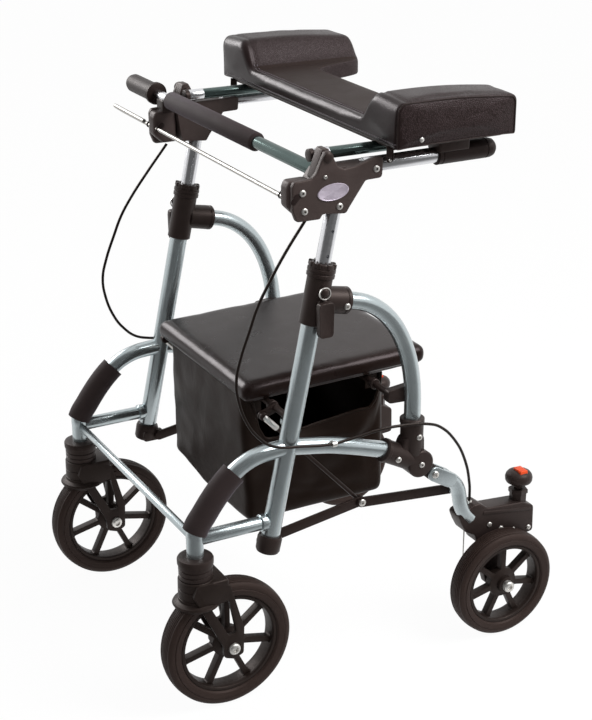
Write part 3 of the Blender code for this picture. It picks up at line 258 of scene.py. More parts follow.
def capsule(start, end, radius, steps=8):
    """Outline of a flat bar with round ends from one (y, z) point to another."""
    start = Vector(start)
    end = Vector(end)
    along = (end - start).normalized()
    side = Vector((-along.y, along.x))
    points = []
    for centre, turn in ((end, 0.0), (start, math.pi)):
        for i in range(steps + 1):
            angle = turn - math.pi / 2 + math.pi * i / steps
            points.append(tuple(centre + radius * (math.cos(angle) * along + math.sin(angle) * side)))
    return points


print("shapes ready")

# %% [markdown]
# A finished piece is named, moved over, given its finish, and told which body carries it; the
# CAD nodes it stands for are hidden. Most pieces exist twice: they are drawn on the left, and the
# right one is the mirror image, whose faces are turned back after mirroring.

# %% Finish a piece, and make its twin


def fitted(obj, name, body, finish, slot, *nodes):
    """Named, moved over, finished, tied to its body, and with the CAD nodes it stands for hidden."""
    obj.name = name
    obj.data.name = name
    obj.data.transform(Matrix.Translation((MID, 0, 0)))
    obj.data.materials.clear()
    obj.data.materials.append(finish)
    alone(obj)
    bpy.ops.object.shade_smooth_by_angle(angle=math.radians(36))
    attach(obj, body)
    if nodes:
        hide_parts(*nodes)
    print(name, len(obj.data.polygons), "faces")
    return obj


def on_both_sides(obj, name, body, finish, slot, *nodes):
    """The piece and its mirror image. Names with {} in them take left or right there."""
    twin = copied(obj, name)
    twin.data.transform(Matrix.Scale(-1, 4, (1, 0, 0)))
    twin.data.flip_normals()
    for side, piece in (("left", obj), ("right", twin)):
        own = [node.format(side) for node in nodes]
        fitted(piece, f"{name}_{side}", body.format(side), finish, slot, *own)
    return obj, twin


print("drawn at x =", SIDE, "and shown at", round(SIDE + MID, 4), "and", round(MID - SIDE, 4))

# %% [markdown]
# Materials are trees of nodes. Colours are written as on a screen, and one function turns
# them to the linear numbers that the renderer wants. One small function adds a node, with
# its settings and the links to and from it. In nearly all finishes a pattern blends two near
# colours and varies the roughness, which one more function does. All patterns read Object
# coordinates, which are metres here, so a scale of 1 / 0.002 gives a grain of 2 mm.

# %% Colour and node helpers


def linear(written):
    """The linear numbers of a colour written as #rrggbb."""
    parts = [int(written[i:i + 2], 16) / 255 for i in (1, 3, 5)]
    bent = [p / 12.92 if p <= 0.04045 else ((p + 0.055) / 1.055) ** 2.4 for p in parts]
    return (*bent, 1.0)


def add(tree, kind, sockets=None, into=None, **settings):
    """A node of this kind. A socket takes a value or another node's output, and into names
    the sockets that this node's own outputs are linked to."""
    node = tree.nodes.new("ShaderNode" + kind)
    for name, value in settings.items():
        setattr(node, name, value)
    for socket, value in (sockets or {}).items():
        if isinstance(value, bpy.types.NodeSocket):
            tree.links.new(value, node.inputs[socket])
        else:
            node.inputs[socket].default_value = value
    for output, socket in (into or {}).items():
        tree.links.new(node.outputs[output], socket)
    return node


def begun(name, **values):
    """A new material, its tree, its shader with these values set, and the Object coordinates."""
    material = bpy.data.materials.new(name)
    material.use_nodes = True
    tree = material.node_tree
    shader = tree.nodes["Principled BSDF"]
    for socket, value in values.items():
        shader.inputs[socket.replace("_", " ")].default_value = value
    return material, tree, shader, add(tree, "TexCoord").outputs["Object"]


def mottled(tree, shader, tone, deep, pale, low, high, wear=None):
    """Colour that follows the pattern tone, and roughness that follows wear, or tone as well."""
    add(
        tree, "Mix", {0: tone, 6: linear(deep), 7: linear(pale)}, {2: shader.inputs["Base Color"]},
        data_type="RGBA",
    )
    add(
        tree, "MapRange", {"Value": tone if wear is None else wear, "To Min": low, "To Max": high},
        {"Result": shader.inputs["Roughness"]},
    )


print("white is", linear("#ffffff"))

# %% [markdown]
# The frame is steel tube in a silver-blue metallic lacquer. Aluminium flakes lie in the
# colour coat and a clear coat lies over them, so it shines twice: a broad glow from the
# flakes and a sharp one from the clear coat. The flakes are far too fine to see here, so
# they are drawn 1.5 mm across. The sprayed coat is a little uneven, as an orange's skin.

# %% Finish: metallic lacquer on steel tube


def metallic_lacquer(name, deep, pale, roughness):
    material, tree, shader, place = begun(name, Metallic=0.86, Coat_Weight=0.35, Coat_Roughness=0.10)
    cloud = add(tree, "TexNoise", {"Vector": place, "Scale": 1 / 0.030, "Detail": 3.0})
    flake = add(tree, "TexVoronoi", {"Vector": place, "Scale": 1 / 0.0015}).outputs["Distance"]
    mottled(tree, shader, cloud.outputs["Fac"], deep, pale, roughness, roughness + 0.03, flake)
    skin = add(tree, "TexNoise", {"Vector": place, "Scale": 1 / 0.014, "Detail": 1.0})
    add(
        tree, "Bump", {"Height": skin.outputs["Fac"], "Strength": 0.04, "Distance": 0.0002},
        {"Normal": shader.inputs["Normal"]},
    )
    return material


LACQUER = metallic_lacquer("silver_blue_lacquer", "#adb7ba", "#bfc8ca", 0.23)
TEAL_LACQUER = metallic_lacquer("dark_teal_lacquer", "#4a5957", "#5f6e6b", 0.18)
print("lacquers:", LACQUER.name, TEAL_LACQUER.name)

# %% [markdown]
# Stems and handle tubes are drawn aluminium tube, polished and anodised clear. Polishing
# leaves faint streaks, drawn 2 mm wide and 6 mm long so that they show. They break up the gloss.
# Screws, axle heads and the bare brake wire are zinc-plated steel: greyer, a little blotchy.

# %% Finish: anodised aluminium, zinc-plated steel


def bare_metal(name, deep, pale, roughness, streak):
    material, tree, shader, place = begun(name, Metallic=1.0)
    turn = add(tree, "Mapping", {"Vector": place, "Scale": (1.0, 0.35, 0.35)})
    grain = add(tree, "TexNoise", {"Vector": turn.outputs["Vector"], "Scale": 1 / streak, "Detail": 4.0})
    mottled(tree, shader, grain.outputs["Fac"], deep, pale, roughness - 0.06, roughness + 0.10)
    return material


ALUMINIUM = bare_metal("anodised_aluminium", "#cfd0d3", "#e6e6e9", 0.20, 0.002)
ROD_STEEL = bare_metal("drawn_steel_rod", "#96938f", "#aba8a3", 0.34, 0.0012)
ZINC = bare_metal("zinc_plated_steel", "#dad7d2", "#f2f0ec", 0.40, 0.0012)
print("bare metals:", ALUMINIUM.name, ZINC.name)

# %% [markdown]
# Housings, clamps and forks are injection-moulded ABS or glass-filled nylon in a warm black.
# The mould is spark-eroded, which leaves a fine matt grain; it is drawn at 1.2 mm, about
# three times its real size, so that it shows. Handling polishes raised places a little.

# %% Finish: moulded plastics
WARM = linear("#dcc9c2")


def moulded(name, deep, pale, roughness, grain_size, relief, **values):
    material, tree, shader, place = begun(name, Specular_IOR_Level=0.32, Specular_Tint=WARM, **values)
    cloud = add(tree, "TexNoise", {"Vector": place, "Scale": 1 / 0.022, "Detail": 4.0})
    mottled(tree, shader, cloud.outputs["Fac"], deep, pale, roughness - 0.05, roughness + 0.09)
    grain = add(tree, "TexNoise", {"Vector": place, "Scale": 1 / grain_size, "Detail": 2.0})
    add(
        tree, "Bump", {"Height": grain.outputs["Fac"], "Strength": 0.35, "Distance": relief},
        {"Normal": shader.inputs["Normal"]},
    )
    return material


# The housings are the same warm black ABS drawn lighter: painted light on their lit faces.
LIT_COPY_ABS = moulded("moulded_abs_painted_light", "#3d3432", "#493f3d", 0.44, 0.0012, 0.00024, IOR=1.54)
ABS = moulded("moulded_abs_warm_black", "#29211f", "#342b29", 0.42, 0.0012, 0.00020, IOR=1.54)
NYLON = moulded("glass_filled_nylon", "#1f1815", "#28201d", 0.46, 0.0015, 0.00022, IOR=1.53)
BLACK_STEEL = moulded("powder_coated_steel", "#241b18", "#2e2422", 0.40, 0.0018, 0.00018, IOR=1.5)
ORANGE = moulded("moulded_abs_orange_red", "#ee4a1d", "#f7602e", 0.34, 0.0012, 0.00010, IOR=1.54)
SHEATH = moulded("cable_sheath_pvc", "#120d0b", "#1c1613", 0.34, 0.0016, 0.00025, IOR=1.53)
print("plastics:", ABS.name, NYLON.name, BLACK_STEEL.name, ORANGE.name, SHEATH.name)

# %% [markdown]
# Rubber has no clear gloss: tyres are vulcanised rubber with a dusty bloom, grips are a
# softer moulded rubber, and the sleeves are closed-cell foam, whose skin is full of pinholes.
# Pores are drawn about 2 mm apart, several times their real size, so that they show. On the
# foam they scatter light at grazing angles, which a little sheen stands for.

# %% Finish: rubber and foam


def rubbery(name, deep, pale, roughness, pore, relief, **values):
    material, tree, shader, place = begun(
        name, IOR=1.52, Specular_IOR_Level=0.32, Specular_Tint=WARM, **values,
    )
    bloom = add(tree, "TexNoise", {"Vector": place, "Scale": 1 / 0.035, "Detail": 6.0, "Roughness": 0.62})
    mottled(tree, shader, bloom.outputs["Fac"], deep, pale, roughness, roughness + 0.14)
    cells = add(tree, "TexVoronoi", {"Vector": place, "Scale": 1 / pore})
    add(
        tree, "Bump", {"Height": cells.outputs["Distance"], "Strength": 0.4, "Distance": relief},
        {"Normal": shader.inputs["Normal"]},
    )
    return material


TYRE = rubbery("vulcanised_tyre_rubber", "#2a201d", "#372b27", 0.50, 0.0022, 0.00018)
GRIP_RUBBER = rubbery("moulded_grip_rubber", "#1c1413", "#261d1c", 0.44, 0.0016, 0.00015)
FOAM = rubbery(
    "closed_cell_foam", "#282020", "#342b2b", 0.66, 0.0016, 0.00035,
    Sheen_Weight=0.25, Sheen_Roughness=0.45, Sheen_Tint=linear("#c9c0cf"),
)
print("rubber and foam:", TYRE.name, GRIP_RUBBER.name, FOAM.name)

# %% [markdown]
# Each side frame has a lower arch: one tube that rises from the castor, bends over and runs
# back to the leg joint. It could be extruded step by step, but a tube bent on a mandrel is a
# curve, so a curve with a round section is used. A short stub ties its foot to the main tube.

# %% Lower arches
CASTOR_Y, STUB_Z = -0.272, 0.2765
LOWER_ARCH = (
    (-0.272, 0.244), (-0.272, 0.262), (-0.272, 0.276), (-0.272, 0.288), (-0.2675, 0.2975),
    (-0.2585, 0.310), (-0.246, 0.3275), (-0.2335, 0.343), (-0.222, 0.3552), (-0.209, 0.3665),
    (-0.194, 0.376), (-0.174, 0.3835), (-0.150, 0.3865), (-0.1244, 0.387), (-0.0985, 0.3830),
    (-0.0586, 0.3757), (-0.0138, 0.3636), (0.0166, 0.354), (0.042, 0.3457), (0.062, 0.3385),
)
arch = pipe([(SIDE, y, z) for y, z in LOWER_ARCH], 0.0125)
stub = bar((SIDE, CASTOR_Y, STUB_Z), on_main(STUB_Z), 0.0105)
weld = rounded(((0.103, 0.0095), (0.103, 0.0128), (0.112, 0.0128), (0.112, 0.0095)), 0.0008)
collar_ring = turned(weld, (SIDE, CASTOR_Y, STUB_Z), (0, 1, 0), 28)
on_both_sides(
    joined(arch, stub, collar_ring), "lower_arch", "frame", LACQUER, "painted_tube", "arch_front_{}",
    "arch_back_{}",
)
print("lower arch runs", round(LOWER_ARCH[-1][0] - LOWER_ARCH[0][0], 3), "m from front to back")

# %% [markdown]
# The castor head is a ribbed plastic bearing housing on the foot of the arch. It is round, so
# it is spun from an outline with grooves, which saves cutting them afterwards.

# %% Castor heads and crossbar
HEAD = (
    (0, 0), (0, 0.0232), (0.0010, 0.0244), (0.0066, 0.0246), (0.0072, 0.0234), (0.0084, 0.0234),
    (0.0090, 0.0246), (0.0146, 0.0248), (0.0152, 0.0236), (0.0164, 0.0236), (0.0170, 0.0248),
    (0.0222, 0.0248), (0.0230, 0.0262), (0.0300, 0.0264), (0.0322, 0.0252), (0.0330, 0.0226),
    (0.0334, 0.0150), (0.0334, 0),
)
on_both_sides(
    turned(HEAD, (SIDE, CASTOR_Y, 0.2170), (0, 0, 1), 48), "castor_head", "frame", ABS, "black_plastic",
)
crossbar = bar((-0.2085, CASTOR_Y, 0.276), (0.2085, CASTOR_Y, 0.276), 0.0062)
fitted(crossbar, "front_crossbar", "frame", LACQUER, "painted_tube", "crossbar")

# %% [markdown]
# A foam sleeve is pushed over the front bend of each arch, as a bumper. Its ends are soft, so
# they are rounded more than a cut tube's would be.

# %% Foam bumpers
SLEEVE = (
    (-0.272, 0.2880), (-0.2675, 0.2975), (-0.2585, 0.310), (-0.246, 0.3275), (-0.2335, 0.343),
    (-0.222, 0.3552), (-0.2095, 0.3663),
)
sleeve = eased_edges(pipe([(SIDE, y, z) for y, z in SLEEVE], 0.0185, 32), 0.0035, 4)
on_both_sides(sleeve, "bumper_sleeve", "frame", FOAM, "foam_sleeve", "bumper_{}")

# %% [markdown]
# The main tube leans back and carries everything above. At its foot a moulded block clamps
# the stub and the strut's lug, and a small cradle holds the seat's front rod.

# %% Main tubes, their feet and cradles
SEAT_ROD_Z = 0.4265
rod_y = main_y(SEAT_ROD_Z)
tube = bar(on_main(0.232), on_main(0.648), 0.014, 0.0012, 40)
cradle = block((SIDE - 0.027, rod_y - 0.006, 0.4125), (SIDE - 0.0122, rod_y + 0.006, 0.4212), 0.001)
on_both_sides(joined(tube, cradle), "main_tube_bar", "frame", LACQUER, "painted_tube", "main_tube_{}")
foot_y = main_y(0.232)
FOOT = (
    (0, 0), (0, 0.0130), (0.0015, 0.0160), (0.0050, 0.0178), (0.0230, 0.0182), (0.0270, 0.0166), (0.0275, 0),
)
foot = turned(FOOT, on_main(0.2275), on_main(0.3) - on_main(0.2), 44)
lug_side = ((foot_y - 0.010, 0.2284), (-0.1315, 0.2284), (-0.1315, 0.2464), (foot_y - 0.010, 0.2464))
lug = plate(rounded(lug_side, 0.006), SIDE - 0.0175, SIDE - 0.008)
on_both_sides(joined(foot, lug), "tube_foot", "frame", ABS, "black_plastic")
print("the seat's front rod rests at y =", round(rod_y, 4))

# %% [markdown]
# The rear arch leaves the clamp collar, sinks 11 degrees and bends down into the leg joint.
# Its bend is one smooth arc, worked out as a Bezier with the same pulls as in the CAD source.

# %% Rear arches with their seat brackets


def bezier(start, pull, end_pull, end, t):
    """The point a share t along a Bezier arc."""
    back = 1 - t
    return back ** 3 * start + 3 * t * back ** 2 * pull + 3 * t * t * back * end_pull + t ** 3 * end


ARCH_FROM_Y, SOCKET_Y = -0.045, 0.0845
drop = math.radians(11.4)
leave = Vector((0, math.cos(drop), -math.sin(drop)))
arch_start = Vector((SIDE, ARCH_FROM_Y, 0.5961))
arch_knee = arch_start + leave * 0.022
arch_end = Vector((SIDE, SOCKET_Y, 0.410))
pull_out = arch_knee + leave * 0.070
pull_down = arch_end + Vector((0, 0, 0.095))
bend = [arch_start, arch_start.lerp(arch_knee, 0.5)]
bend += [bezier(arch_knee, pull_out, pull_down, arch_end, i / 12) for i in range(13)]
bend += [Vector((SIDE, SOCKET_Y, 0.386)), Vector((SIDE, SOCKET_Y, 0.362))]
rear_arch = pipe(bend, 0.0125)
bracket_side = rounded(((0.045, 0.4165), (0.0885, 0.4145), (0.0865, 0.4405), (0.045, 0.4365)), 0.007)
bracket = plate(bracket_side, SIDE - 0.0178, SIDE - 0.004)
on_both_sides(rear_arch, "rear_arch_tube", "frame", LACQUER, "painted_tube", "rear_arch_{}")
on_both_sides(bracket, "seat_bracket", "frame", ABS, "black_plastic")
print("rear arch bends through", len(bend), "points")

# %% [markdown]
# A screw head is a low dome with a socket sunk into it. It is turned once and copied to every
# place, and all heads of one part are joined, since they never move on their own.

# %% Screw heads


def screws(places, radius, high=0.0024):
    """Heads that look along +X (or -X where high is negative), at (x, y, z) places."""
    way = (1, 0, 0) if high > 0 else (-1, 0, 0)
    tall = abs(high)
    outline = (
        (-0.001, 0), (-0.001, radius), (tall * 0.45, radius), (tall * 0.8, radius * 0.88),
        (tall, radius * 0.70), (tall, radius * 0.34), (tall * 0.1, radius * 0.30), (tall * 0.1, 0),
    )
    first = turned(outline, (0, 0, 0), way, 20)
    heads = []
    for place in places:
        heads.append(copied(first, "head"))
        heads[-1].data.transform(Matrix.Translation(place))
    bpy.data.objects.remove(first)
    return joined(*heads)


print("screw heads ready")

# %% [markdown]
# The collar clamps the height of the stem. Its ring is ribbed and toothed at the top so that
# it can be gripped, a socket at the side takes the rear arch, and a lever hangs outside.

# %% Clamp collars
LEVER_Z = 0.603
lever_y = main_y(LEVER_Z)
collar_high = 0.087 / MAIN_WAY.z
RIBBED = (
    (0, 0), (0, 0.0166), (0.0012, 0.0180), (collar_high - 0.0205, 0.0182), (collar_high - 0.0195, 0.0200),
    (collar_high - 0.0150, 0.0202), (collar_high - 0.0142, 0.0192), (collar_high - 0.0128, 0.0192),
    (collar_high - 0.0120, 0.0202), (collar_high - 0.0080, 0.0202), (collar_high - 0.0074, 0.0190),
    (collar_high - 0.0010, 0.0188), (collar_high, 0.0176), (collar_high, 0.0125),
    (collar_high - 0.004, 0.0118), (collar_high - 0.004, 0),
)
shell = turned(RIBBED, on_main(0.568), MAIN_WAY, 44)
MOUTH_Y = -0.0300
mouth = arch_start + leave * ((MOUTH_Y - ARCH_FROM_Y) / leave.y)
socket_back = arch_start - leave * 0.026
socket_long = (mouth - socket_back).length
socket = turned(
    (
        (0, 0), (0, 0.0190), (socket_long - 0.0085, 0.0195), (socket_long - 0.0080, 0.0186),
        (socket_long - 0.0064, 0.0186), (socket_long - 0.0058, 0.0196), (socket_long - 0.0012, 0.0196),
        (socket_long, 0.0184), (socket_long, 0),
    ),
    socket_back, leave, 40,
)
TEETH = 8
teeth = []
for i in range(TEETH):
    angle = 2 * math.pi * i / TEETH
    tooth = block((-0.0028, 0.0150, -0.0035), (0.0028, 0.0200, 0.0035), 0.0008)
    tooth.data.transform(Matrix.Rotation(angle, 4, "Z"))
    tooth.data.transform(MAIN_WAY.to_track_quat("Z", "Y").to_matrix().to_4x4())
    tooth.data.transform(Matrix.Translation(on_main(0.6525)))
    teeth.append(tooth)
ear = block((SIDE + 0.0140, lever_y - 0.0065, 0.5930), (SIDE + 0.0233, lever_y + 0.0065, 0.6080), 0.002)
on_both_sides(joined(shell, socket, *teeth, ear), "clamp_collar", "frame", ABS, "black_plastic", "collar_{}")
on_both_sides(
    screws([(SIDE + 0.0188, -0.0395, 0.5915)], 0.0048, 0.0026), "collar_screw", "frame", ZINC,
    "chromed_steel",
)
print("each collar has", TEETH, "teeth and is", round(collar_high, 4), "m long")

# %% [markdown]
# The clamp lever is a flat moulding, a little wider near its top, with a hollowed finger face.
# The outline is filled and given its thickness, then its outer face is inset and pushed in.
# It hangs just below its pivot, so that it clears the domed nut when it swings out.

# %% Clamp levers
LEVER_IN_X, LEVER_OUT_X = 0.2440, 0.2550
lever = plate(
    rounded(
        (
            (lever_y - 0.0108, 0.6065), (lever_y + 0.0108, 0.6065), (lever_y + 0.0118, 0.5980),
            (lever_y + 0.0108, 0.5560), (lever_y - 0.0108, 0.5560), (lever_y - 0.0118, 0.5980),
        ),
        0.006,
    ),
    LEVER_IN_X, LEVER_OUT_X, 0,
)
alone(lever)
bpy.ops.object.mode_set(mode="EDIT")
bpy.ops.mesh.select_all(action="DESELECT")
bpy.ops.object.mode_set(mode="OBJECT")
for face in lever.data.polygons:
    face.select = face.normal.x > 0.9
bpy.ops.object.mode_set(mode="EDIT")
bpy.ops.mesh.select_mode(type="FACE")
bpy.ops.mesh.inset(thickness=0.0030)
bpy.ops.transform.translate(value=(-0.0010, 0, 0))
bpy.ops.object.mode_set(mode="OBJECT")
eased_edges(lever, 0.0011, 3)
on_both_sides(lever, "clamp_lever_arm", "lever_{}", ABS, "black_plastic", "clamp_lever_{}")
nut = turned(
    ((-0.001, 0), (-0.001, 0.0070), (0.0020, 0.0070), (0.0050, 0.0058), (0.0066, 0.0036), (0.0072, 0)),
    (0.2450, lever_y, 0.6205), (1, 0, 0), 32,
)
stalk = plate(capsule((lever_y, 0.6150), (lever_y, 0.6200), 0.0060), LEVER_IN_X, 0.2480, 0.0008)
on_both_sides(joined(nut, stalk), "lever_pivot_nut", "frame", ABS, "black_plastic")
ring_side = rounded(((-0.0010, 0.0074), (-0.0010, 0.0092), (0.0014, 0.0092), (0.0014, 0.0074)), 0.0007)
ring = turned(ring_side, (0.2480, lever_y, 0.6190), (1, 0, 0), 40)
on_both_sides(ring, "lever_pivot_ring", "frame", ZINC, "chromed_steel")

# %% [markdown]
# The leg joint is one casting in black: a socket for the rear arch, a sleeve for the lower
# arch, a round cover over the hinge and a lug for the folding leg. Its rounds are turned and
# its lug is a flat bar; they run into each other, as in the casting.

# %% Leg joints
HINGE, LEG_PIN = (0.093, 0.317), (0.1212, 0.2918)
hinge = Vector((SIDE, *HINGE))
socket = turned(
    (
        (0, 0), (0, 0.0150), (0.003, 0.0172), (0.052, 0.0175), (0.0528, 0.0186), (0.0588, 0.0186),
        (0.060, 0.0172), (0.060, 0.0126), (0.056, 0.0126), (0.056, 0),
    ),
    (SIDE, SOCKET_Y, 0.330), (0, 0, 1), 40,
)
back_end = Vector((SIDE, *LOWER_ARCH[-1]))
run = (back_end - Vector((SIDE, *LOWER_ARCH[-3]))).normalized()
sleeve_from = back_end - run * 0.030
sleeve_long = (hinge - sleeve_from).length
sleeve = turned(
    (
        (0, 0), (0, 0.0130), (0.0005, 0.0168), (0.0015, 0.0182), (0.0065, 0.0184), (0.0075, 0.0174),
        (sleeve_long, 0.0175), (sleeve_long, 0),
    ),
    sleeve_from, hinge - sleeve_from, 40,
)
cover = turned(
    (
        (-0.0175, 0), (-0.0175, 0.0130), (-0.0165, 0.0195), (-0.0145, 0.0215), (0.0145, 0.0215),
        (0.0165, 0.0195), (0.0175, 0.0130), (0.0175, 0),
    ),
    hinge, (1, 0, 0), 44,
)
WEB = ((0.052, 0.326), (0.0900, 0.2990), (0.1010, 0.3320), (0.1000, 0.3650), (0.0680, 0.3620))
web = plate(rounded(WEB, 0.010), SIDE - 0.0120, SIDE + 0.0120, 0.003)
tongue = plate(capsule(HINGE, LEG_PIN, 0.0115), SIDE - 0.007, SIDE + 0.007, 0.0012)
on_both_sides(
    joined(socket, sleeve, cover, web, tongue), "leg_joint_casting", "frame", ABS, "black_plastic",
    "leg_joint_{}",
)
on_both_sides(
    screws(
        [(SIDE + 0.0168, 0.0870, 0.3630), (SIDE + 0.0172, 0.0520, 0.3345), (SIDE + 0.0170, *HINGE)],
        0.0046, 0.0026,
    ),
    "joint_screws", "frame", ZINC, "chromed_steel",
)
print("the leg's pin is", round(math.dist(HINGE, LEG_PIN), 4), "m from the hinge cover's middle")

# %% [markdown]
# The folding leg hangs from the joint between two cheeks and bends down into the brake
# housing. A pin passes through both cheeks, with a domed head on each side. The leg bends
# twice, so it is a curve with a round section again, and its cheeks are flat bars.

# %% Folding legs
LEG = (
    (0.1365, 0.2828), (0.150, 0.2750), (0.1625, 0.2650), (0.1700, 0.2530), (0.1735, 0.2400),
    (0.1765, 0.2250), (0.1830, 0.2090), (0.1940, 0.1960),
)
leg = pipe([(SIDE, y, z) for y, z in LEG], 0.0115)
cheeks = [
    plate(capsule(LEG_PIN, LEG[1], 0.0115), SIDE + sign * 0.0073, SIDE + sign * 0.0118, 0.001)
    for sign in (-1, 1)
]
STRUT_PIN = (0.1697, 0.2456)
boss = bar((0.2090, *STRUT_PIN), (0.2135, *STRUT_PIN), 0.007)
on_both_sides(joined(leg, *cheeks, boss), "folding_leg", "leg_{}", LACQUER, "painted_tube", "rear_leg_{}")
pin = joined(*[screws([(SIDE + sign * 0.0122, *LEG_PIN)], 0.0058, sign * 0.0028) for sign in (1, -1)])
on_both_sides(pin, "leg_pin", "leg_{}", ZINC, "chromed_steel")

# %% [markdown]
# Flat black struts stay the folding leg from the tube's foot, hinged at a knee, and a thin
# rod goes up from the knee to the seat: lifting the seat folds the legs.

# %% Struts and lift rods
KNEE, LIFT_TOP = (0.0093, 0.2604), (-0.1380, 0.4190)
front = plate(capsule((-0.1405, 0.2374), KNEE, 0.008), 0.2002, 0.2042, 0.0009)
on_both_sides(front, "strut_front_bar", "front_strut_{}", BLACK_STEEL, "black_plastic", "strut_front_{}")
back = plate(capsule(KNEE, STRUT_PIN, 0.008), 0.2045, 0.2085, 0.0009)
on_both_sides(back, "strut_back_bar", "back_strut_{}", BLACK_STEEL, "black_plastic", "strut_back_{}")
on_both_sides(
    joined(screws([(0.2085, *KNEE)], 0.0058, 0.0026), screws([(0.2045, *STRUT_PIN)], 0.0058, -0.0026)),
    "strut_screws", "back_strut_{}", ZINC, "chromed_steel",
)
lift = pipe([(0.175, *LIFT_TOP), (0.1855, -0.0640, 0.3395), (0.1959, *KNEE)], 0.003, 16)
ends = [bar((0.1919, *KNEE), (0.1999, *KNEE), 0.006), bar((0.172, *LIFT_TOP), (0.178, *LIFT_TOP), 0.006)]
on_both_sides(joined(lift, *ends), "lift_rod_wire", "lift_{}", BLACK_STEEL, "chromed_steel", "lift_rod_{}")
rod_end = bar((0.1750, *LIFT_TOP), (0.1779, -0.1175, 0.3969), 0.0046, 0.0012, 24)
on_both_sides(rod_end, "lift_rod_end", "lift_{}", ZINC, "chromed_steel")
print("the knee is at", KNEE, "and the rod's top at", LIFT_TOP)

# %% [markdown]
# A wheel is a rubber tyre on a moulded rim with seven spokes. The tyre's section has a crowned
# tread with grooves, and it is spun round the axle. The rim is a disc out of which seven
# windows are cut, because the real openings have rounded corners that loose spokes lack.

# %% Tyre section and spoke windows


def tyre_outline(radius, inside, half):
    """One bead and sidewall, the grooved tread, then the other sidewall and bead."""
    wall = radius - inside
    side = [
        (half * 0.78, inside), (half * 0.93, inside + wall * 0.10), (half * 0.99, inside + wall * 0.30),
        (half * 1.0, inside + wall * 0.46), (half * 0.94, inside + wall * 0.49),
        (half * 0.97, inside + wall * 0.56), (half * 0.90, inside + wall * 0.78),
        (half * 0.74, inside + wall * 0.92),
    ]
    tread = []
    for i in range(-3, 4):
        middle = i * half * 0.19
        crown = radius - 0.0016 * (middle / (half * 0.6)) ** 2
        low = crown - 0.0011
        tread += [(middle - half * 0.035, crown), (middle - half * 0.025, low)]
        tread += [(middle + half * 0.025, low), (middle + half * 0.035, crown)]
    return [(-height, r) for height, r in side] + tread + list(reversed(side))


def window_outline(index, spokes, hub, bore, spoke_wide):
    """The opening between two spokes, as (y, z) from the axle."""
    turn = 2 * math.pi / spokes
    first = math.pi / 2 + index * turn
    corners = []
    for radius, count in ((bore, 7), (hub, 3)):
        spare = math.asin(spoke_wide / 2 / radius)
        spread = [first + spare + (turn - 2 * spare) * j / (count - 1) for j in range(count)]
        if radius == hub:
            spread.reverse()
        corners += [(radius * math.cos(angle), radius * math.sin(angle)) for angle in spread]
    return rounded(corners, 0.007, 5)


print("window of a spoked rim:", len(window_outline(0, 7, 0.0235, 0.07, 0.0085)), "points")

# %% [markdown]
# The same function makes both sizes of wheel about the origin. It turns the tyre, cuts the
# windows out of a disc, and adds the band under the tyre and the hub. Then the wheel is moved
# to its axle.

# %% One wheel of each size
SPOKES, SPOKE_WIDE = 7, 0.0085


def wheel(radius, tyre_deep):
    """Tyre and rim about the origin, the axle along X. The radius is the axle's height."""
    inside = radius - tyre_deep
    tyre = turned(tyre_outline(radius, inside + 0.0003, 0.018), (0, 0, 0), (1, 0, 0), 96)
    disc = turned(
        ((-0.0062, 0), (-0.0062, inside - 0.003), (0.0062, inside - 0.003), (0.0062, 0)), (0, 0, 0),
        (1, 0, 0), 70,
    )
    windows = []
    for i in range(SPOKES):
        opening = window_outline(i, SPOKES, 0.0235, inside - 0.0062, SPOKE_WIDE)
        windows.append(plate(opening, -0.02, 0.02, 0))
    cut(disc, joined(*windows))
    eased_edges(disc, 0.0016, 3, 50)
    band = turned(
        (
            (-0.0140, inside - 0.0048), (-0.0140, inside - 0.0006), (-0.0128, inside), (0.0128, inside),
            (0.0140, inside - 0.0006), (0.0140, inside - 0.0048), (0.0128, inside - 0.0058),
            (0.0070, inside - 0.0062), (-0.0070, inside - 0.0062), (-0.0128, inside - 0.0058),
        ),
        (0, 0, 0), (1, 0, 0), 70,
    )
    hub = turned(
        (
            (-0.0170, 0), (-0.0170, 0.0120), (-0.0162, 0.0132), (-0.0100, 0.0138), (-0.0075, 0.0200),
            (-0.0055, 0.0240), (0.0055, 0.0240), (0.0075, 0.0200), (0.0100, 0.0138), (0.0162, 0.0132),
            (0.0170, 0.0120), (0.0170, 0),
        ),
        (0, 0, 0), (1, 0, 0), 40,
    )
    return tyre, joined(disc, band, hub)


CASTOR_AXLE, REAR_AXLE = (-0.2265, 0.100), (0.2395, 0.087)
for kind, deep, x, axle in (("castor", 0.023, SIDE, CASTOR_AXLE), ("rear", 0.021, 0.2503, REAR_AXLE)):
    tyre, rim = wheel(axle[1], deep)
    for piece in (tyre, rim):
        piece.data.transform(Matrix.Translation((x, *axle)))
    on_both_sides(tyre, kind + "_tyre_rubber", kind + "_wheel_{}", TYRE, "tyre_rubber", kind + "_tyre_{}")
    on_both_sides(rim, kind + "_rim_spokes", kind + "_wheel_{}", NYLON, "black_plastic", kind + "_rim_{}")

# %% [markdown]
# The castor fork is one nylon moulding: a ribbed crown that swivels under the head, a shoulder
# that reaches back over the tyre, and two arms, each split into two struts by a long window.

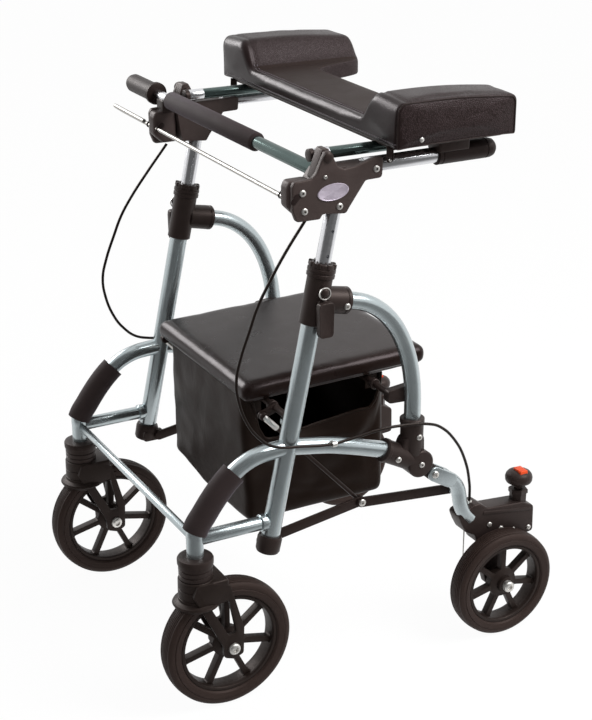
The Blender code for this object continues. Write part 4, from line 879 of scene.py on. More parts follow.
# %% Castor forks
crown = turned(
    (
        (0, 0), (0, 0.0240), (0.0045, 0.0262), (0.0058, 0.0310), (0.0072, 0.0338), (0.0095, 0.0350),
        (0.0120, 0.0336), (0.0136, 0.0285), (0.0150, 0.0264), (0.0190, 0.0262), (0.0196, 0.0252),
        (0.0208, 0.0252), (0.0214, 0.0262), (0.0330, 0.0262), (0.0336, 0.0252), (0.0348, 0.0252),
        (0.0354, 0.0262), (0.0475, 0.0260), (0.0487, 0.0248), (0.0487, 0),
    ),
    (SIDE, CASTOR_Y, 0.168), (0, 0, 1), 48,
)
shoulder = block((SIDE - 0.0278, -0.276, 0.2035), (SIDE + 0.0278, -0.2325, 0.2160), 0.003)
FORK_ARM = (
    (-0.288, 0.198), (-0.243, 0.106), (-0.242, 0.088), (-0.2265, 0.0825), (-0.211, 0.088),
    (-0.2095, 0.130), (-0.2225, 0.177), (-0.2305, 0.205), (-0.258, 0.2157), (-0.282, 0.2157),
)
arm_outline = rounded(FORK_ARM, 0.006, 3)
slit = rounded(((-0.2620, 0.1760), (-0.2350, 0.1240), (-0.2215, 0.1240), (-0.2330, 0.1820)), 0.005, 3)
arms = []
for sign in (-1, 1):
    arm = plate(arm_outline, SIDE + sign * 0.021, SIDE + sign * 0.028, 0)
    cut(arm, plate(slit, SIDE - 0.05, SIDE + 0.05, 0))
    arms.append(eased_edges(arm, 0.0014, 3, 50))
on_both_sides(
    joined(crown, shoulder, *arms), "castor_fork_casting", "castor_{}", NYLON, "black_plastic",
    "castor_fork_{}",
)
AXLE_CAP = (
    (-0.004, 0), (-0.004, 0.0088), (0.0030, 0.0090), (0.0044, 0.0082), (0.0056, 0.0062), (0.0058, 0.0044),
    (0.0030, 0.0038), (0.0030, 0),
)
caps = [turned(AXLE_CAP, (SIDE + sign * 0.028, *CASTOR_AXLE), (sign, 0, 0), 28) for sign in (-1, 1)]
on_both_sides(joined(*caps), "castor_axle_caps", "castor_{}", ZINC, "chromed_steel")
print("the castor trails its swivel by", round(CASTOR_AXLE[0] - CASTOR_Y, 4), "m")

# %% [markdown]
# The brake housing is a flat moulding clamped round the folding leg, with the rear wheel on
# an arm beside it. The cable enters at a plated adjuster, and a knob on a hexagonal neck sets
# the brake. A short bare wire goes down to the shoe.

# %% Brake housings
BRAKE = (
    (0.1690, 0.2080), (0.1760, 0.1910), (0.184, 0.176), (0.201, 0.166), (0.206, 0.152), (0.252, 0.143),
    (0.312, 0.148), (0.311, 0.193), (0.290, 0.2035), (0.223, 0.209), (0.209, 0.220), (0.1985, 0.2200),
)
RIB = ((0.214, 0.1995), (0.305, 0.1870), (0.305, 0.1925), (0.214, 0.2055))
ARM = (
    (0.222, 0.092), (0.227, 0.074), (0.2395, 0.069), (0.252, 0.074), (0.257, 0.092), (0.258, 0.150),
    (0.214, 0.150),
)
NECK = (
    (-0.022, 0), (-0.022, 0.0132), (0.0, 0.0135), (0.0, 0.0155), (0.0060, 0.0155), (0.0075, 0.0140),
    (0.0075, 0),
)
THROAT = ((-0.006, 0), (-0.006, 0.0075), (0.0075, 0.0070), (0.0140, 0.0068), (0.0140, 0))
KNOB_X, KNOB_Y = 0.215, 0.290
case = plate(rounded(BRAKE, 0.007), 0.199, 0.2308, 0.0030, 4)
rib = plate(rounded(RIB, 0.002), 0.2290, 0.2320, 0.0008)
arm = plate(rounded(ARM, 0.008), 0.2153, 0.2292, 0.0016)
neck = turned(NECK, (KNOB_X, KNOB_Y, 0.215), (0, 0, 1), 6)
throat = turned(THROAT, (KNOB_X, KNOB_Y, 0.215), (0, 0, 1), 24)
on_both_sides(
    joined(case, rib, arm, neck, throat), "brake_case", "leg_{}", ABS, "black_plastic",
    "brake_housing_{}",
)
places = ((0.227, 0.180), (0.249, 0.168), (0.273, 0.160), (0.302, 0.157), (0.245, 0.1515))
heads = screws([(0.2306, y, z) for y, z in places], 0.0042, 0.0022)
on_both_sides(heads, "brake_screws", "leg_{}", ZINC, "chromed_steel")
wire = bar((0.207, 0.196, 0.166), (0.207, 0.196, 0.118), 0.0011, 0.0003, 12)
barrel = turned(
    (
        (0, 0), (0, 0.0042), (0.0050, 0.0042), (0.0055, 0.0036), (0.0070, 0.0036), (0.0075, 0.0045),
        (0.0150, 0.0045), (0.0165, 0.0036), (0.0165, 0),
    ),
    (0.215, 0.198, 0.205), (0, 0, 1), 24,
)
on_both_sides(joined(wire, barrel), "cable_adjuster", "leg_{}", ZINC, "chromed_steel")
on_both_sides(
    turned(AXLE_CAP, (0.2713, *REAR_AXLE), (1, 0, 0), 28), "rear_axle_cap", "leg_{}", ZINC,
    "chromed_steel",
)

# %% [markdown]
# The knob is a mushroom of black ABS. A bright orange-red key is let into its crown, a
# separate moulding, so that it gets its own piece and finish.

# %% Brake knobs
MUSHROOM = (
    (0.0, 0), (0.0, 0.0110), (0.0025, 0.0150), (0.0050, 0.0196), (0.0080, 0.0212), (0.0130, 0.0216),
    (0.0175, 0.0204), (0.0210, 0.0176), (0.0235, 0.0130), (0.0245, 0.0080), (0.0245, 0),
)
on_both_sides(
    turned(MUSHROOM, (KNOB_X, KNOB_Y, 0.229), (0, 0, 1), 48), "brake_knob_head", "knob_{}", ABS,
    "black_plastic", "brake_knob_{}",
)
key = block((0.2080, 0.2830, 0.2450), (0.2290, 0.2970, 0.2566), 0.0016)
on_both_sides(key, "knob_key", "knob_{}", ORANGE, "black_plastic")

# %% [markdown]
# The stem slides in the main tube, and a row of holes shows how far it is out. The holes are
# real ones, cut with a boolean through the outer wall only, as a drill would.

# %% Stems
stem = bar(on_main(0.480), on_main(0.757), 0.011, 0.0008, 40)
for hole_y, hole_z in ((-0.0664, 0.6660), (-0.0590, 0.7010)):
    cut(stem, bar((SIDE + 0.004, hole_y, hole_z), (SIDE + 0.02, hole_y, hole_z), 0.0024, 0.0002, 20))
on_both_sides(stem, "stem_tube", "upper", ALUMINIUM, "chromed_steel", "stem_{}")
print("drilled stem has", len(stem.data.polygons), "faces")

# %% [markdown]
# The upper housing is a moulding in two shells that holds stem, handle, push bar and the pad's
# pivot. Each part's outline is filled and given a thickness: the inner shell, the ear, the
# outer shell that stands a little proud, and the thick nose in front where the brake rod ends.

# %% Upper housings
INNER_SHELL = (
    (-0.082, 0.7234), (-0.079, 0.7300), (-0.042, 0.726), (-0.037, 0.734), (-0.012, 0.7685),
    (0.014, 0.7690), (0.0155, 0.7900), (-0.024, 0.7900), (-0.043, 0.7900), (-0.055, 0.7900),
    (-0.080, 0.7900), (-0.091, 0.7756),
)
EAR = (
    (-0.091, 0.7750), (-0.080, 0.8060), (-0.0755, 0.8180), (-0.0665, 0.8180), (-0.058, 0.8020),
    (-0.050, 0.7800),
)
OUTER_SHELL = (
    (-0.1220, 0.7800), (-0.1252, 0.7730), (-0.1245, 0.7390), (-0.1185, 0.7240), (-0.0820, 0.7234),
    (-0.0790, 0.7300), (-0.0420, 0.7260), (-0.0370, 0.7340), (-0.0120, 0.7685), (0.0140, 0.7690),
    (0.0155, 0.8000), (-0.0060, 0.7965), (-0.0280, 0.7905), (-0.0450, 0.7885), (-0.0560, 0.7935),
    (-0.0630, 0.8080), (-0.0675, 0.8165), (-0.0750, 0.8165), (-0.0800, 0.8060), (-0.0880, 0.7880),
    (-0.0950, 0.7810),
)
NOSE = (
    (-0.1245, 0.7790), (-0.1285, 0.7700), (-0.1285, 0.7440), (-0.1130, 0.7290), (-0.0900, 0.7290),
    (-0.0900, 0.7790),
)
outer = plate(rounded(OUTER_SHELL, 0.006), SIDE + 0.0095, SIDE + 0.0182, 0.0020, 4)
inner = plate(rounded(INNER_SHELL, 0.004), SIDE - 0.0182, SIDE + 0.0120, 0.0030, 4)
nose = plate(rounded(NOSE, 0.009), SIDE - 0.0125, SIDE + 0.0100, 0.0050, 4)
ear = plate(rounded(EAR, 0.004), SIDE - 0.008, SIDE + 0.0100, 0.0012)
shells = joined(inner, ear, outer, nose)
# The shells take the lighter copy of the black ABS, whose colour is painted light.
on_both_sides(shells, "handle_shells", "upper", LIT_COPY_ABS, "black_plastic", "handle_housing_{}")

# %% [markdown]
# Five screws hold the shells together, four large and one small. The pad's pivot ends in a
# round black boss on the ear. All stand a little proud of the outer shell, as real ones do,
# so that they catch the light. A screw drawn in the material alone would stay flat.

# %% Screws and bosses of the housings
FACE_X = SIDE + 0.0178
BOSS = ((0, 0), (0, 0.0078), (0.0016, 0.0076), (0.0030, 0.0062), (0.0038, 0.0036), (0.0040, 0))
places = ((-0.110, 0.7637), (-0.107, 0.738), (-0.053, 0.738), (0.004, 0.783))
heads = screws([(FACE_X, y, z) for y, z in places], 0.0050, 0.0026)
small = screws([(FACE_X, -0.0755, 0.7815)], 0.0030, 0.0022)
boss = turned(BOSS, (FACE_X, -0.0712, 0.8080), (1, 0, 0), 32)
on_both_sides(boss, "ear_boss", "upper", ABS, "black_plastic")
on_both_sides(joined(heads, small), "housing_screws", "upper", ZINC, "chromed_steel")

# %% [markdown]
# The badge is a thin oval of metallised plastic with a raised rim. It is turned round and
# then pulled wide, and its face stays plain.

# %% Bare badges
ROUND = ((0, 0), (0, 1.0), (0.0011, 1.0), (0.0016, 0.97), (0.0016, 0.93), (0.0011, 0.89), (0.0013, 0.0))
badge = turned(ROUND, (0, 0, 0), (1, 0, 0), 56)
alone(badge)
bpy.ops.object.mode_set(mode="EDIT")
bpy.ops.mesh.select_all(action="SELECT")
bpy.ops.transform.resize(value=(1, 0.0240, 0.0118), center_override=(0, 0, 0))
bpy.ops.object.mode_set(mode="OBJECT")
badge.data.transform(Matrix.Rotation(math.radians(4), 4, "X"))
badge.data.transform(Matrix.Translation((SIDE + 0.0181, -0.0634, 0.7594)))
BADGE, tree, shader, place = begun("metallised_badge", Metallic=0.35, IOR=1.5)
mottle = add(tree, "TexNoise", {"Vector": place, "Scale": 1 / 0.006, "Detail": 3.0})
mottled(tree, shader, mottle.outputs["Fac"], "#b9adbd", "#d2c8d5", 0.28, 0.45)
on_both_sides(badge, "bare_badge", "upper", BADGE, "black_plastic")

# %% [markdown]
# Handle tubes run back from the housings, with a rubber grip at the end. The grip has shallow
# grooves near its ends, put straight into the turned outline.

# %% Handle tubes and grips
HANDLE_Z = 0.7845
handle = bar((SIDE, -0.008, HANDLE_Z), (SIDE, 0.200, HANDLE_Z), 0.011, 0.0006, 40)
on_both_sides(handle, "handle_bright_tube", "upper", ALUMINIUM, "chromed_steel", "handle_tube_{}")
GRIP = (
    (0, 0), (0, 0.0130), (0.0010, 0.0143), (0.0060, 0.0143), (0.0066, 0.0135), (0.0078, 0.0135),
    (0.0084, 0.0143), (0.0800, 0.0143), (0.0806, 0.0135), (0.0818, 0.0135), (0.0824, 0.0143),
    (0.0890, 0.0140), (0.0940, 0.0124), (0.0975, 0.0088), (0.0990, 0.0040), (0.0990, 0),
)
grip = turned(GRIP, (SIDE, 0.109, HANDLE_Z), (0, 1, 0), 40)
on_both_sides(grip, "handle_rubber_grip", "upper", GRIP_RUBBER, "black_rubber", "handle_grip_{}")

# %% [markdown]
# The push bar crosses from the left housing to the right one and runs on past it. It is teal
# lacquered tube under a foam sleeve, then a thinner bright stub, and a rubber end grip. All
# are round about one straight line, so each is turned along it.

# %% Push bar, stub, foam, end grip and saddle
NEAR_X, FAR_X = 0.200, -0.336
bar_near = Vector((NEAR_X, -0.0685, 0.7800))
bar_far = Vector((FAR_X, -0.1106, 0.8013))
bar_way = (bar_far - bar_near).normalized()


def bar_at(x):
    """The push bar's middle line at x."""
    return bar_near.lerp(bar_far, (x - NEAR_X) / (FAR_X - NEAR_X))


FOAM_X, STUB_X = 0.049, -0.2505
tube = bar(bar_at(0.2032), bar_at(-0.205), 0.0095, 0.0006, 40)
fitted(tube, "push_bar_tube", "upper", TEAL_LACQUER, "teal_tube", "push_bar")
stub = bar(bar_at(-0.204), bar_at(STUB_X), 0.0075, 0.0005, 32)
fitted(stub, "push_bar_stub", "upper", ALUMINIUM, "chromed_steel")
foam_long = (bar_at(-0.207) - bar_at(FOAM_X)).length
foam = turned(
    (
        (0, 0), (0, 0.0112), (0.0010, 0.0130), (0.0030, 0.0140), (foam_long - 0.0030, 0.0140),
        (foam_long - 0.0010, 0.0130), (foam_long, 0.0112), (foam_long, 0),
    ),
    bar_at(FOAM_X), bar_way, 44,
)
fitted(foam, "push_bar_sleeve", "upper", FOAM, "foam_sleeve", "push_bar_foam")
end_long = (bar_far - bar_at(STUB_X)).length
end_grip = turned(
    (
        (0, 0), (0, 0.0160), (0.0010, 0.0175), (0.0070, 0.0175), (0.0085, 0.0152), (0.0100, 0.0146),
        (end_long - 0.0100, 0.0145), (end_long - 0.0045, 0.0126), (end_long - 0.0012, 0.0080),
        (end_long, 0.0030), (end_long, 0),
    ),
    bar_at(STUB_X), bar_way, 44,
)
fitted(end_grip, "push_bar_end_grip", "upper", GRIP_RUBBER, "black_rubber")
_, over_y, over_z = bar_at(-SIDE)
saddle = block(
    (-SIDE - 0.012, over_y - 0.011, over_z - 0.025), (-SIDE + 0.012, over_y + 0.009, over_z - 0.001),
    0.002,
)
fitted(saddle, "bar_saddle", "upper", ABS, "black_plastic")

# %% [markdown]
# The brake rod is a drawn steel rod, in front of the push bar and a little lower. It leaves
# the left housing, runs past the right one, turns back there in half a circle and ends in the
# right housing's nose.

# %% Brake rod
TURN_X = -0.3405
rod_back = Vector((0, -0.1235, 0.7535))
rod_front = Vector((0, -0.1380, 0.7640))
path = [Vector((x, *rod_back.yz)) for x in (0.216, 0.10, 0.0, -0.10, -0.20, -0.27, -0.315, TURN_X)]
half_gap = (rod_front - rod_back) / 2
for i in range(1, 6):
    angle = math.pi * i / 6
    side = (rod_back + rod_front) / 2 - half_gap * math.cos(angle)
    path.append(Vector((TURN_X - half_gap.length * math.sin(angle), *side.yz)))
path += [Vector((x, *rod_front.yz)) for x in (TURN_X, -0.315, -0.27, -0.226)]
fitted(pipe(path, 0.0032, 14), "brake_rod_wire", "brake_bar", ROD_STEEL, "chromed_steel", "brake_rod")

# %% [markdown]
# Two teal arms carry the forearm pad. Each pivots on the housing's ear, has a bright sleeve
# and a black cap in front, and rests on the grip through a moulded shoe. All of it is
# straight, so tubes and cap are turned, and the shoe is two rounded blocks.

# %% Pad arms
ARM_X, ARM_Z = 0.200, 0.8015
FRONT_Z = ARM_Z + 0.001
arm = bar((ARM_X, -0.0500, FRONT_Z), (ARM_X, 0.165, ARM_Z - 0.001), 0.008, 0.0006, 36)
on_both_sides(arm, "pad_arm_tube", "pad", TEAL_LACQUER, "teal_tube", "pad_arm_{}")
bright = bar((ARM_X, -0.0740, FRONT_Z), (ARM_X, -0.0490, FRONT_Z), 0.0086, 0.0006, 36)
on_both_sides(bright, "pad_arm_sleeve", "pad", ALUMINIUM, "chromed_steel")
CAP = ((0, 0), (0, 0.0078), (0.0008, 0.0090), (0.0070, 0.0090), (0.0080, 0.0082), (0.0080, 0))
cap = turned(CAP, (ARM_X, -0.0805, FRONT_Z), (0, 1, 0), 36)
pin = bar((ARM_X - 0.004, -0.0715, 0.8060), (SIDE + 0.0085, -0.0715, 0.8087), 0.004, 0.0004, 24)
SHOE_TOP = 0.8165
shoe = block((SIDE - 0.0165, 0.107, 0.7905), (SIDE + 0.0165, 0.157, SHOE_TOP), 0.0030)
bridge = block((ARM_X - 0.009, 0.111, 0.8060), (SIDE, 0.153, SHOE_TOP), 0.0010)
on_both_sides(joined(cap, pin, shoe, bridge), "pad_arm_shoe", "pad", ABS, "black_plastic")

# %% [markdown]
# Where the brake rod passes a housing's side, it moves in a slot. Only the slot's dark outline
# shows, so it is not cut through the shells: a thin dark flat piece with round ends lies on
# each face instead, as painted shade for the open slot.

# %% Painted shade of the brake rod's slots
slot_shape = capsule(rod_back.yz, (-0.1181, 0.7594), 0.0046)
slot_shades = [plate(slot_shape, SIDE + x, SIDE + x + 0.0006, 0.0002) for x in (-0.0188, 0.0182)]
# Dark flat pieces on both faces of each housing: painted shade for the slots.
on_both_sides(joined(*slot_shades), "brake_rod_seals", "upper", GRIP_RUBBER, "black_rubber")

# %% [markdown]
# Under the seat two black rods run across, joined by two rails, with a lug at each side for
# the lift rods. They are plain bar, so they are turned with eased ends.

# %% Seat rods


def rail_z(y):
    """Height of the rails' middle line, which rises toward the back as the seat does."""
    return 0.4272 + 0.0169 * (y + 0.1555)


RAIL_X, RAIL_FRONT, RAIL_BACK = 0.1216, -0.1435, 0.1285
BACK_ROD_Y = 0.055
rods = [bar((-0.207, y, SEAT_ROD_Z), (0.207, y, SEAT_ROD_Z), 0.005) for y in (BACK_ROD_Y, rod_y)]
for sign in (-1, 1):
    ends = [(sign * RAIL_X, y, rail_z(y)) for y in (RAIL_FRONT, RAIL_BACK)]
    rods.append(bar(*ends, 0.0045))
    rods.append(plate(capsule(LIFT_TOP, (rod_y, SEAT_ROD_Z), 0.0065), sign * 0.1677, sign * 0.1717, 0.0008))
fitted(joined(*rods), "seat_rods", "seat", BLACK_STEEL, "chromed_steel", "seat_frame")
COLLAR = ((-0.0045, 0), (-0.0045, 0.0072), (-0.0035, 0.0082), (0.0035, 0.0082), (0.0045, 0.0072), (0.0045, 0))
collars = [turned(COLLAR, (0.1600, y, SEAT_ROD_Z), (1, 0, 0), 28) for y in (rod_y, BACK_ROD_Y)]
on_both_sides(joined(*collars), "rod_collars", "seat", ABS, "black_plastic")

# %% [markdown]
# The brake cables are plastic-sheathed and held between the housing, a clip on the arch and
# the adjuster. Each is a thin bent tube. The upper one spans the height adjustment and the
# lower one the folding leg, so they are left on no body.

# %% Brake cables
UPPER_CABLE = (
    (0.0070, -0.0995, 0.7222), (0.0100, -0.1330, 0.6800), (0.0140, -0.1600, 0.6423),
    (0.0160, -0.1780, 0.6125), (0.0175, -0.1904, 0.5830), (0.0185, -0.2060, 0.5422),
    (0.0190, -0.2125, 0.5141), (0.0190, -0.2099, 0.4839), (0.0190, -0.1951, 0.4432),
    (0.0190, -0.1798, 0.4216), (0.0190, -0.1611, 0.4052), (0.0190, -0.1374, 0.3969),
    (0.0190, -0.1134, 0.3931), (0.0190, -0.0850, 0.3880), (0.0190, -0.0588, 0.3850),
)
LOWER_CABLE = (
    (0.0190, -0.0582, 0.3850), (0.0190, -0.0400, 0.3864), (0.0205, -0.0118, 0.3897), (0.0230, 0.0170, 0.3935),
    (0.0250, 0.0560, 0.3925), (0.0250, 0.0960, 0.3860), (0.0220, 0.1200, 0.3750), (0.0180, 0.1500, 0.3448),
    (0.0105, 0.1748, 0.3029), (-0.0010, 0.1925, 0.2560), (-0.0070, 0.1980, 0.2350), (-0.0070, 0.1980, 0.2218),
)


def cable(route, name):
    """A sheath on each side, made on the frame and then taken off every body."""
    tube = pipe([(SIDE + x, y, z) for x, y, z in route], 0.0022, 12, 5)
    for side, piece in zip(
        ("left", "right"), on_both_sides(tube, name, "frame", SHEATH, "black_rubber", name + "_{}"),
    ):
        piece.name = f"{name}_sheath_{side}"
        piece.parent = None
        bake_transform(piece)


cable(UPPER_CABLE, "cable_upper")
cable(LOWER_CABLE, "cable_lower")
eye_side = rounded(((-0.004, 0.0026), (-0.004, 0.0042), (0.004, 0.0042), (0.004, 0.0026)), 0.0006)
eye = turned(eye_side, (SIDE + 0.019, -0.0585, 0.3850), (0, 1, 0), 24)
foot = block((SIDE + 0.006, -0.0625, 0.3815), (SIDE + 0.0165, -0.0545, 0.3855), 0.0008)
on_both_sides(joined(eye, foot), "cable_clip", "frame", ZINC, "chromed_steel")

# %% [markdown]
# Pad and seat are covered in leatherette: a vinyl skin on a knit back, embossed with rounded
# pebbles, which show as broad broken highlights. The pebbles are cells whose borders sink,
# drawn 2.6 mm across, about twice their real size, so that they show. A slower noise under
# them stands for the creases of use.

# %% Finish: pebbled leatherette


def leatherette(name, deep, pale, pebble, relief, roughness, specular, folds):
    material, tree, shader, place = begun(
        name, IOR=1.5, Specular_IOR_Level=specular, Specular_Tint=linear("#dccdd0"),
    )
    cells = add(tree, "TexVoronoi", {"Vector": place, "Scale": 1 / pebble}, feature="DISTANCE_TO_EDGE")
    dome = add(
        tree, "MapRange", {"Value": cells.outputs["Distance"], "From Max": 0.28},
        interpolation_type="SMOOTHSTEP",
    )
    crease = add(tree, "TexNoise", {"Vector": place, "Scale": 1 / 0.030, "Detail": 4.0, "Distortion": 0.6})
    mottled(
        tree, shader, dome.outputs["Result"], deep, pale, roughness - 0.05, roughness + 0.10,
        crease.outputs["Fac"],
    )
    slow = add(tree, "Bump", {"Height": crease.outputs["Fac"], "Strength": folds, "Distance": 0.0030})
    add(
        tree, "Bump",
        {
            "Height": dome.outputs["Result"], "Strength": 0.55, "Distance": relief,
            "Normal": slow.outputs["Normal"],
        },
        {"Normal": shader.inputs["Normal"]},
    )
    return material


PEBBLED = leatherette("pebbled_leatherette", "#221a18", "#382d2e", 0.0026, 0.00036, 0.36, 0.24, 0.05)
SMOOTH_VINYL = leatherette("smooth_leatherette", "#1d1413", "#281e1d", 0.0018, 0.00006, 0.30, 0.30, 0.08)
SEAT_VINYL = leatherette("seat_leatherette", "#1c120f", "#251a16", 0.0018, 0.00004, 0.27, 0.26, 0.03)
MATT_VINYL = leatherette("matt_leatherette", "#281f1c", "#332824", 0.0018, 0.00012, 0.52, 0.14, 0.08)
THREAD = moulded("bonded_nylon_thread", "#6c646b", "#7d747c", 0.50, 0.0008, 0.00010, IOR=1.53)
print("leatherettes:", PEBBLED.name, SMOOTH_VINYL.name, SEAT_VINYL.name)

# %% [markdown]
# A cushion is foam under a tight skin. Its skin of small even faces is swelled as cloth with
# air pressure inside, so its sides crown and its corners pull in, as upholstery does. No
# point may move further than a few millimetres, and then the whole is drawn back to the size
# that the photograph gives.

# %% Helpers that swell a cushion


def swollen(obj, most):
    """The same mesh swelled by air pressure inside, no point moved further than most."""
    start = [vertex.co.copy() for vertex in obj.data.vertices]
    alone(obj)
    frames = 20
    cloth = obj.modifiers.new("Cloth", "CLOTH")
    cloth.settings.use_pressure = True
    cloth.settings.uniform_pressure_force = 4.0
    cloth.settings.tension_stiffness = 12
    cloth.settings.compression_stiffness = 12
    cloth.settings.effector_weights.gravity = 0.0
    cloth.point_cache.frame_end = frames
    for count in range(1, frames + 1):
        bpy.context.scene.frame_set(count)
    bpy.ops.object.modifier_apply(modifier=cloth.name)
    bpy.context.scene.frame_set(1)
    for vertex, place in zip(obj.data.vertices, start):
        move = vertex.co - place
        if move.length > most:
            vertex.co = place + move * (most / move.length)
    return obj


def drawn_to(obj, low, high):
    """Stretched along each axis until its box is the one from low to high."""
    for axis in range(3):
        values = [vertex.co[axis] for vertex in obj.data.vertices]
        first, last = min(values), max(values)
        for vertex in obj.data.vertices:
            share = (vertex.co[axis] - first) / (last - first)
            vertex.co[axis] = low[axis] + share * (high[axis] - low[axis])
    return obj


def between(low, high, value):
    """0 at low, 1 at high, and smooth in between."""
    share = min(1.0, max(0.0, (value - low) / (high - low)))
    return share * share * (3 - 2 * share)


print("halfway eases to", between(0, 1, 0.5), "and a quarter to", between(0, 1, 0.25))

# %% [markdown]
# A seam pulls the skin in. Its line is thrown onto the cushion along a direction, the points
# near it are pressed in, and a row of short stitches lies in the groove. One stitch is made
# and copied, each copy turned along the line.

# %% Seam lines, grooves and stitches


def thrown(obj, points, way):
    """The points moved along way until they meet the surface, with the surface's normals."""
    found = []
    for point in points:
        hit, spot, normal, _ = obj.ray_cast(Vector(point), Vector(way))
        if hit:
            found.append((spot, normal))
    return found


def pressed(obj, line, deep, reach):
    """Sinks the surface along a line of (point, normal) pairs."""
    tree = kdtree.KDTree(len(line))
    for i, (spot, _) in enumerate(line):
        tree.insert(spot, i)
    tree.balance()
    for vertex in obj.data.vertices:
        _, i, far = tree.find(vertex.co)
        if far < reach:
            vertex.co = vertex.co - line[i][1] * deep * (1 - (far / reach) ** 2) ** 2
    return obj


def stitches(line, long, pitch, lift):
    """Short threads laid end to end along a line of (point, normal) pairs."""
    bpy.ops.object.select_all(action="DESELECT")
    bpy.ops.mesh.primitive_cylinder_add(vertices=6, radius=0.00065, depth=long)
    one = eased_edges(bpy.context.object, 0.0002, 1)
    made = []
    walked = 0.0
    for (spot, normal), (after, _) in zip(line, line[1:]):
        walked += (after - spot).length
        if walked < pitch:
            continue
        walked = 0.0
        stitch = copied(one, "stitch")
        stitch.data.transform((after - spot).to_track_quat("Z", "Y").to_matrix().to_4x4())
        stitch.data.transform(Matrix.Translation(spot + normal * lift))
        made.append(stitch)
    bpy.data.objects.remove(one)
    return joined(*made)


print("seam helpers ready")

# %% [markdown]
# The forearm pad is a low bed between two raised wings, which also reach further back. It is
# lofted from sections across it. Each section is a rounded four-sided loop, whose back edge
# and top depend on how far out it lies. A box could be sculpted instead, but a loft keeps the
# rows of faces even, which swelling needs.

# %% One section of the forearm pad
SIDE_STEPS = (22, 7, 22, 8)
PAD_FRONT, BED_BACK, WING_BACK = 0.0175, 0.126, 0.2140
PAD_UNDER, BED_TOP = 0.8105, 0.8350


def wing_rise(x):
    """0 over the bed, 1 over the wings."""
    return between(0.166, 0.206, abs(x))


def pad_ring(x):
    """The section at x as a loop of (y, z): under, behind, on top and in front."""
    rise = wing_rise(x)
    back = BED_BACK + (WING_BACK - BED_BACK) * between(0.136, 0.174, abs(x))
    corners = (
        ((PAD_FRONT, PAD_UNDER), 0.0030), ((back, PAD_UNDER), 0.0030),
        ((back, BED_TOP + 0.0315 * rise), 0.007 + 0.003 * rise),
        ((PAD_FRONT, BED_TOP + 0.0410 * rise), 0.010 + 0.006 * rise),
    )
    loop = []
    for i, ((y, z), radius) in enumerate(corners):
        (y_in, z_in), (y_out, z_out) = corners[i - 1][0], corners[(i + 1) % 4][0]
        came = (Vector((y, z)) - Vector((y_in, z_in))).normalized()
        goes = (Vector((y_out, z_out)) - Vector((y, z))).normalized()
        middle = Vector((y, z)) - came * radius + goes * radius
        for k in range(5):
            turn = k / 4 * math.pi / 2
            loop.append(middle + came * radius * math.sin(turn) - goes * radius * math.cos(turn))
        after_radius = corners[(i + 1) % 4][1]
        start = Vector((y, z)) + goes * radius
        end = Vector((y_out, z_out)) - goes * after_radius
        for k in range(1, SIDE_STEPS[i]):
            spot = start.lerp(end, k / SIDE_STEPS[i])
            if i == 2:
                spot.y += 0.0030 * rise * math.sin(math.pi * k / SIDE_STEPS[i])
            loop.append(spot)
    return loop


print("a section has", len(pad_ring(0)), "points")

# %% [markdown]
# The left half's rings run from the middle to the outer panel, and shrink there toward its
# centre. They are mirrored, joined by faces, swelled and drawn to size. Swelling wrinkles the
# outer panels a little, so these are smoothed before that, as a group of points of their own.

# %% Pad skin from its sections
PANEL = (
    (0.2630, 0.998), (0.2662, 0.990), (0.2668, 0.955), (0.2674, 0.88), (0.2680, 0.80),
    (0.2688, 0.70), (0.2694, 0.58), (0.2698, 0.45), (0.2700, 0.31), (0.2700, 0.16),
)


def pad_rings():
    """Rings of the left half, from the middle to the centre of the outer panel."""
    rings = []
    for x in [0.0055 * i for i in range(48)]:
        rings.append([Vector((x, *point)) for point in pad_ring(x)])
    last = rings[-1]
    middle = sum(last, Vector()) / len(last)
    for x, share in PANEL:
        ring = []
        for point in last:
            y = middle.y + (point.y - middle.y) * share
            ring.append(Vector((x, y, middle.z + (point.z - middle.z) * share)))
        rings.append(ring)
    return rings


half = pad_rings()
whole = [[Vector((-point.x, point.y, point.z)) for point in ring] for ring in half[:0:-1]] + half
count = len(half[0])
points = [point for ring in whole for point in ring]
faces = [
    (r * count + k, r * count + (k + 1) % count, (r + 1) * count + (k + 1) % count, (r + 1) * count + k)
    for r in range(len(whole) - 1) for k in range(count)
]
faces += [tuple(range(count))[::-1], tuple(range((len(whole) - 1) * count, len(whole) * count))]
mesh = bpy.data.meshes.new("pad")
mesh.from_pydata(points, [], faces)
pad = bpy.data.objects.new("pad", mesh)
bpy.context.scene.collection.objects.link(pad)
sewn(pad, 0.00001)
swollen(pad, 0.0020)
ends = pad.vertex_groups.new(name="ends")
ends.add([vertex.index for vertex in pad.data.vertices if abs(vertex.co.x) > 0.2672], 1.0, "REPLACE")
applied(pad, "SMOOTH", factor=0.5, iterations=24, vertex_group="ends")
drawn_to(pad, (-0.2710, 0.0165, 0.8100), (0.2710, 0.2175, 0.8795))
applied(pad, "SUBSURF", levels=1, render_levels=1)
alone(pad)
print("pad skin has", len(pad.data.polygons), "faces")

# %% [markdown]
# A smooth band is rolled over the pad's front edge and sewn down with a double row, a third
# row runs low along the front, and piping runs round each outer panel. The lines are thrown
# on from above, from in front, and inwards from a ring of the loft. The grooves are pressed
# into the mesh, because a groove in the material alone would cast no shade.

# %% Grooves, stitches and piping


def seam_y(x):
    """How far back the band's seam lies, a little further on the wings."""
    return 0.0310 + 0.0040 * wing_rise(x)


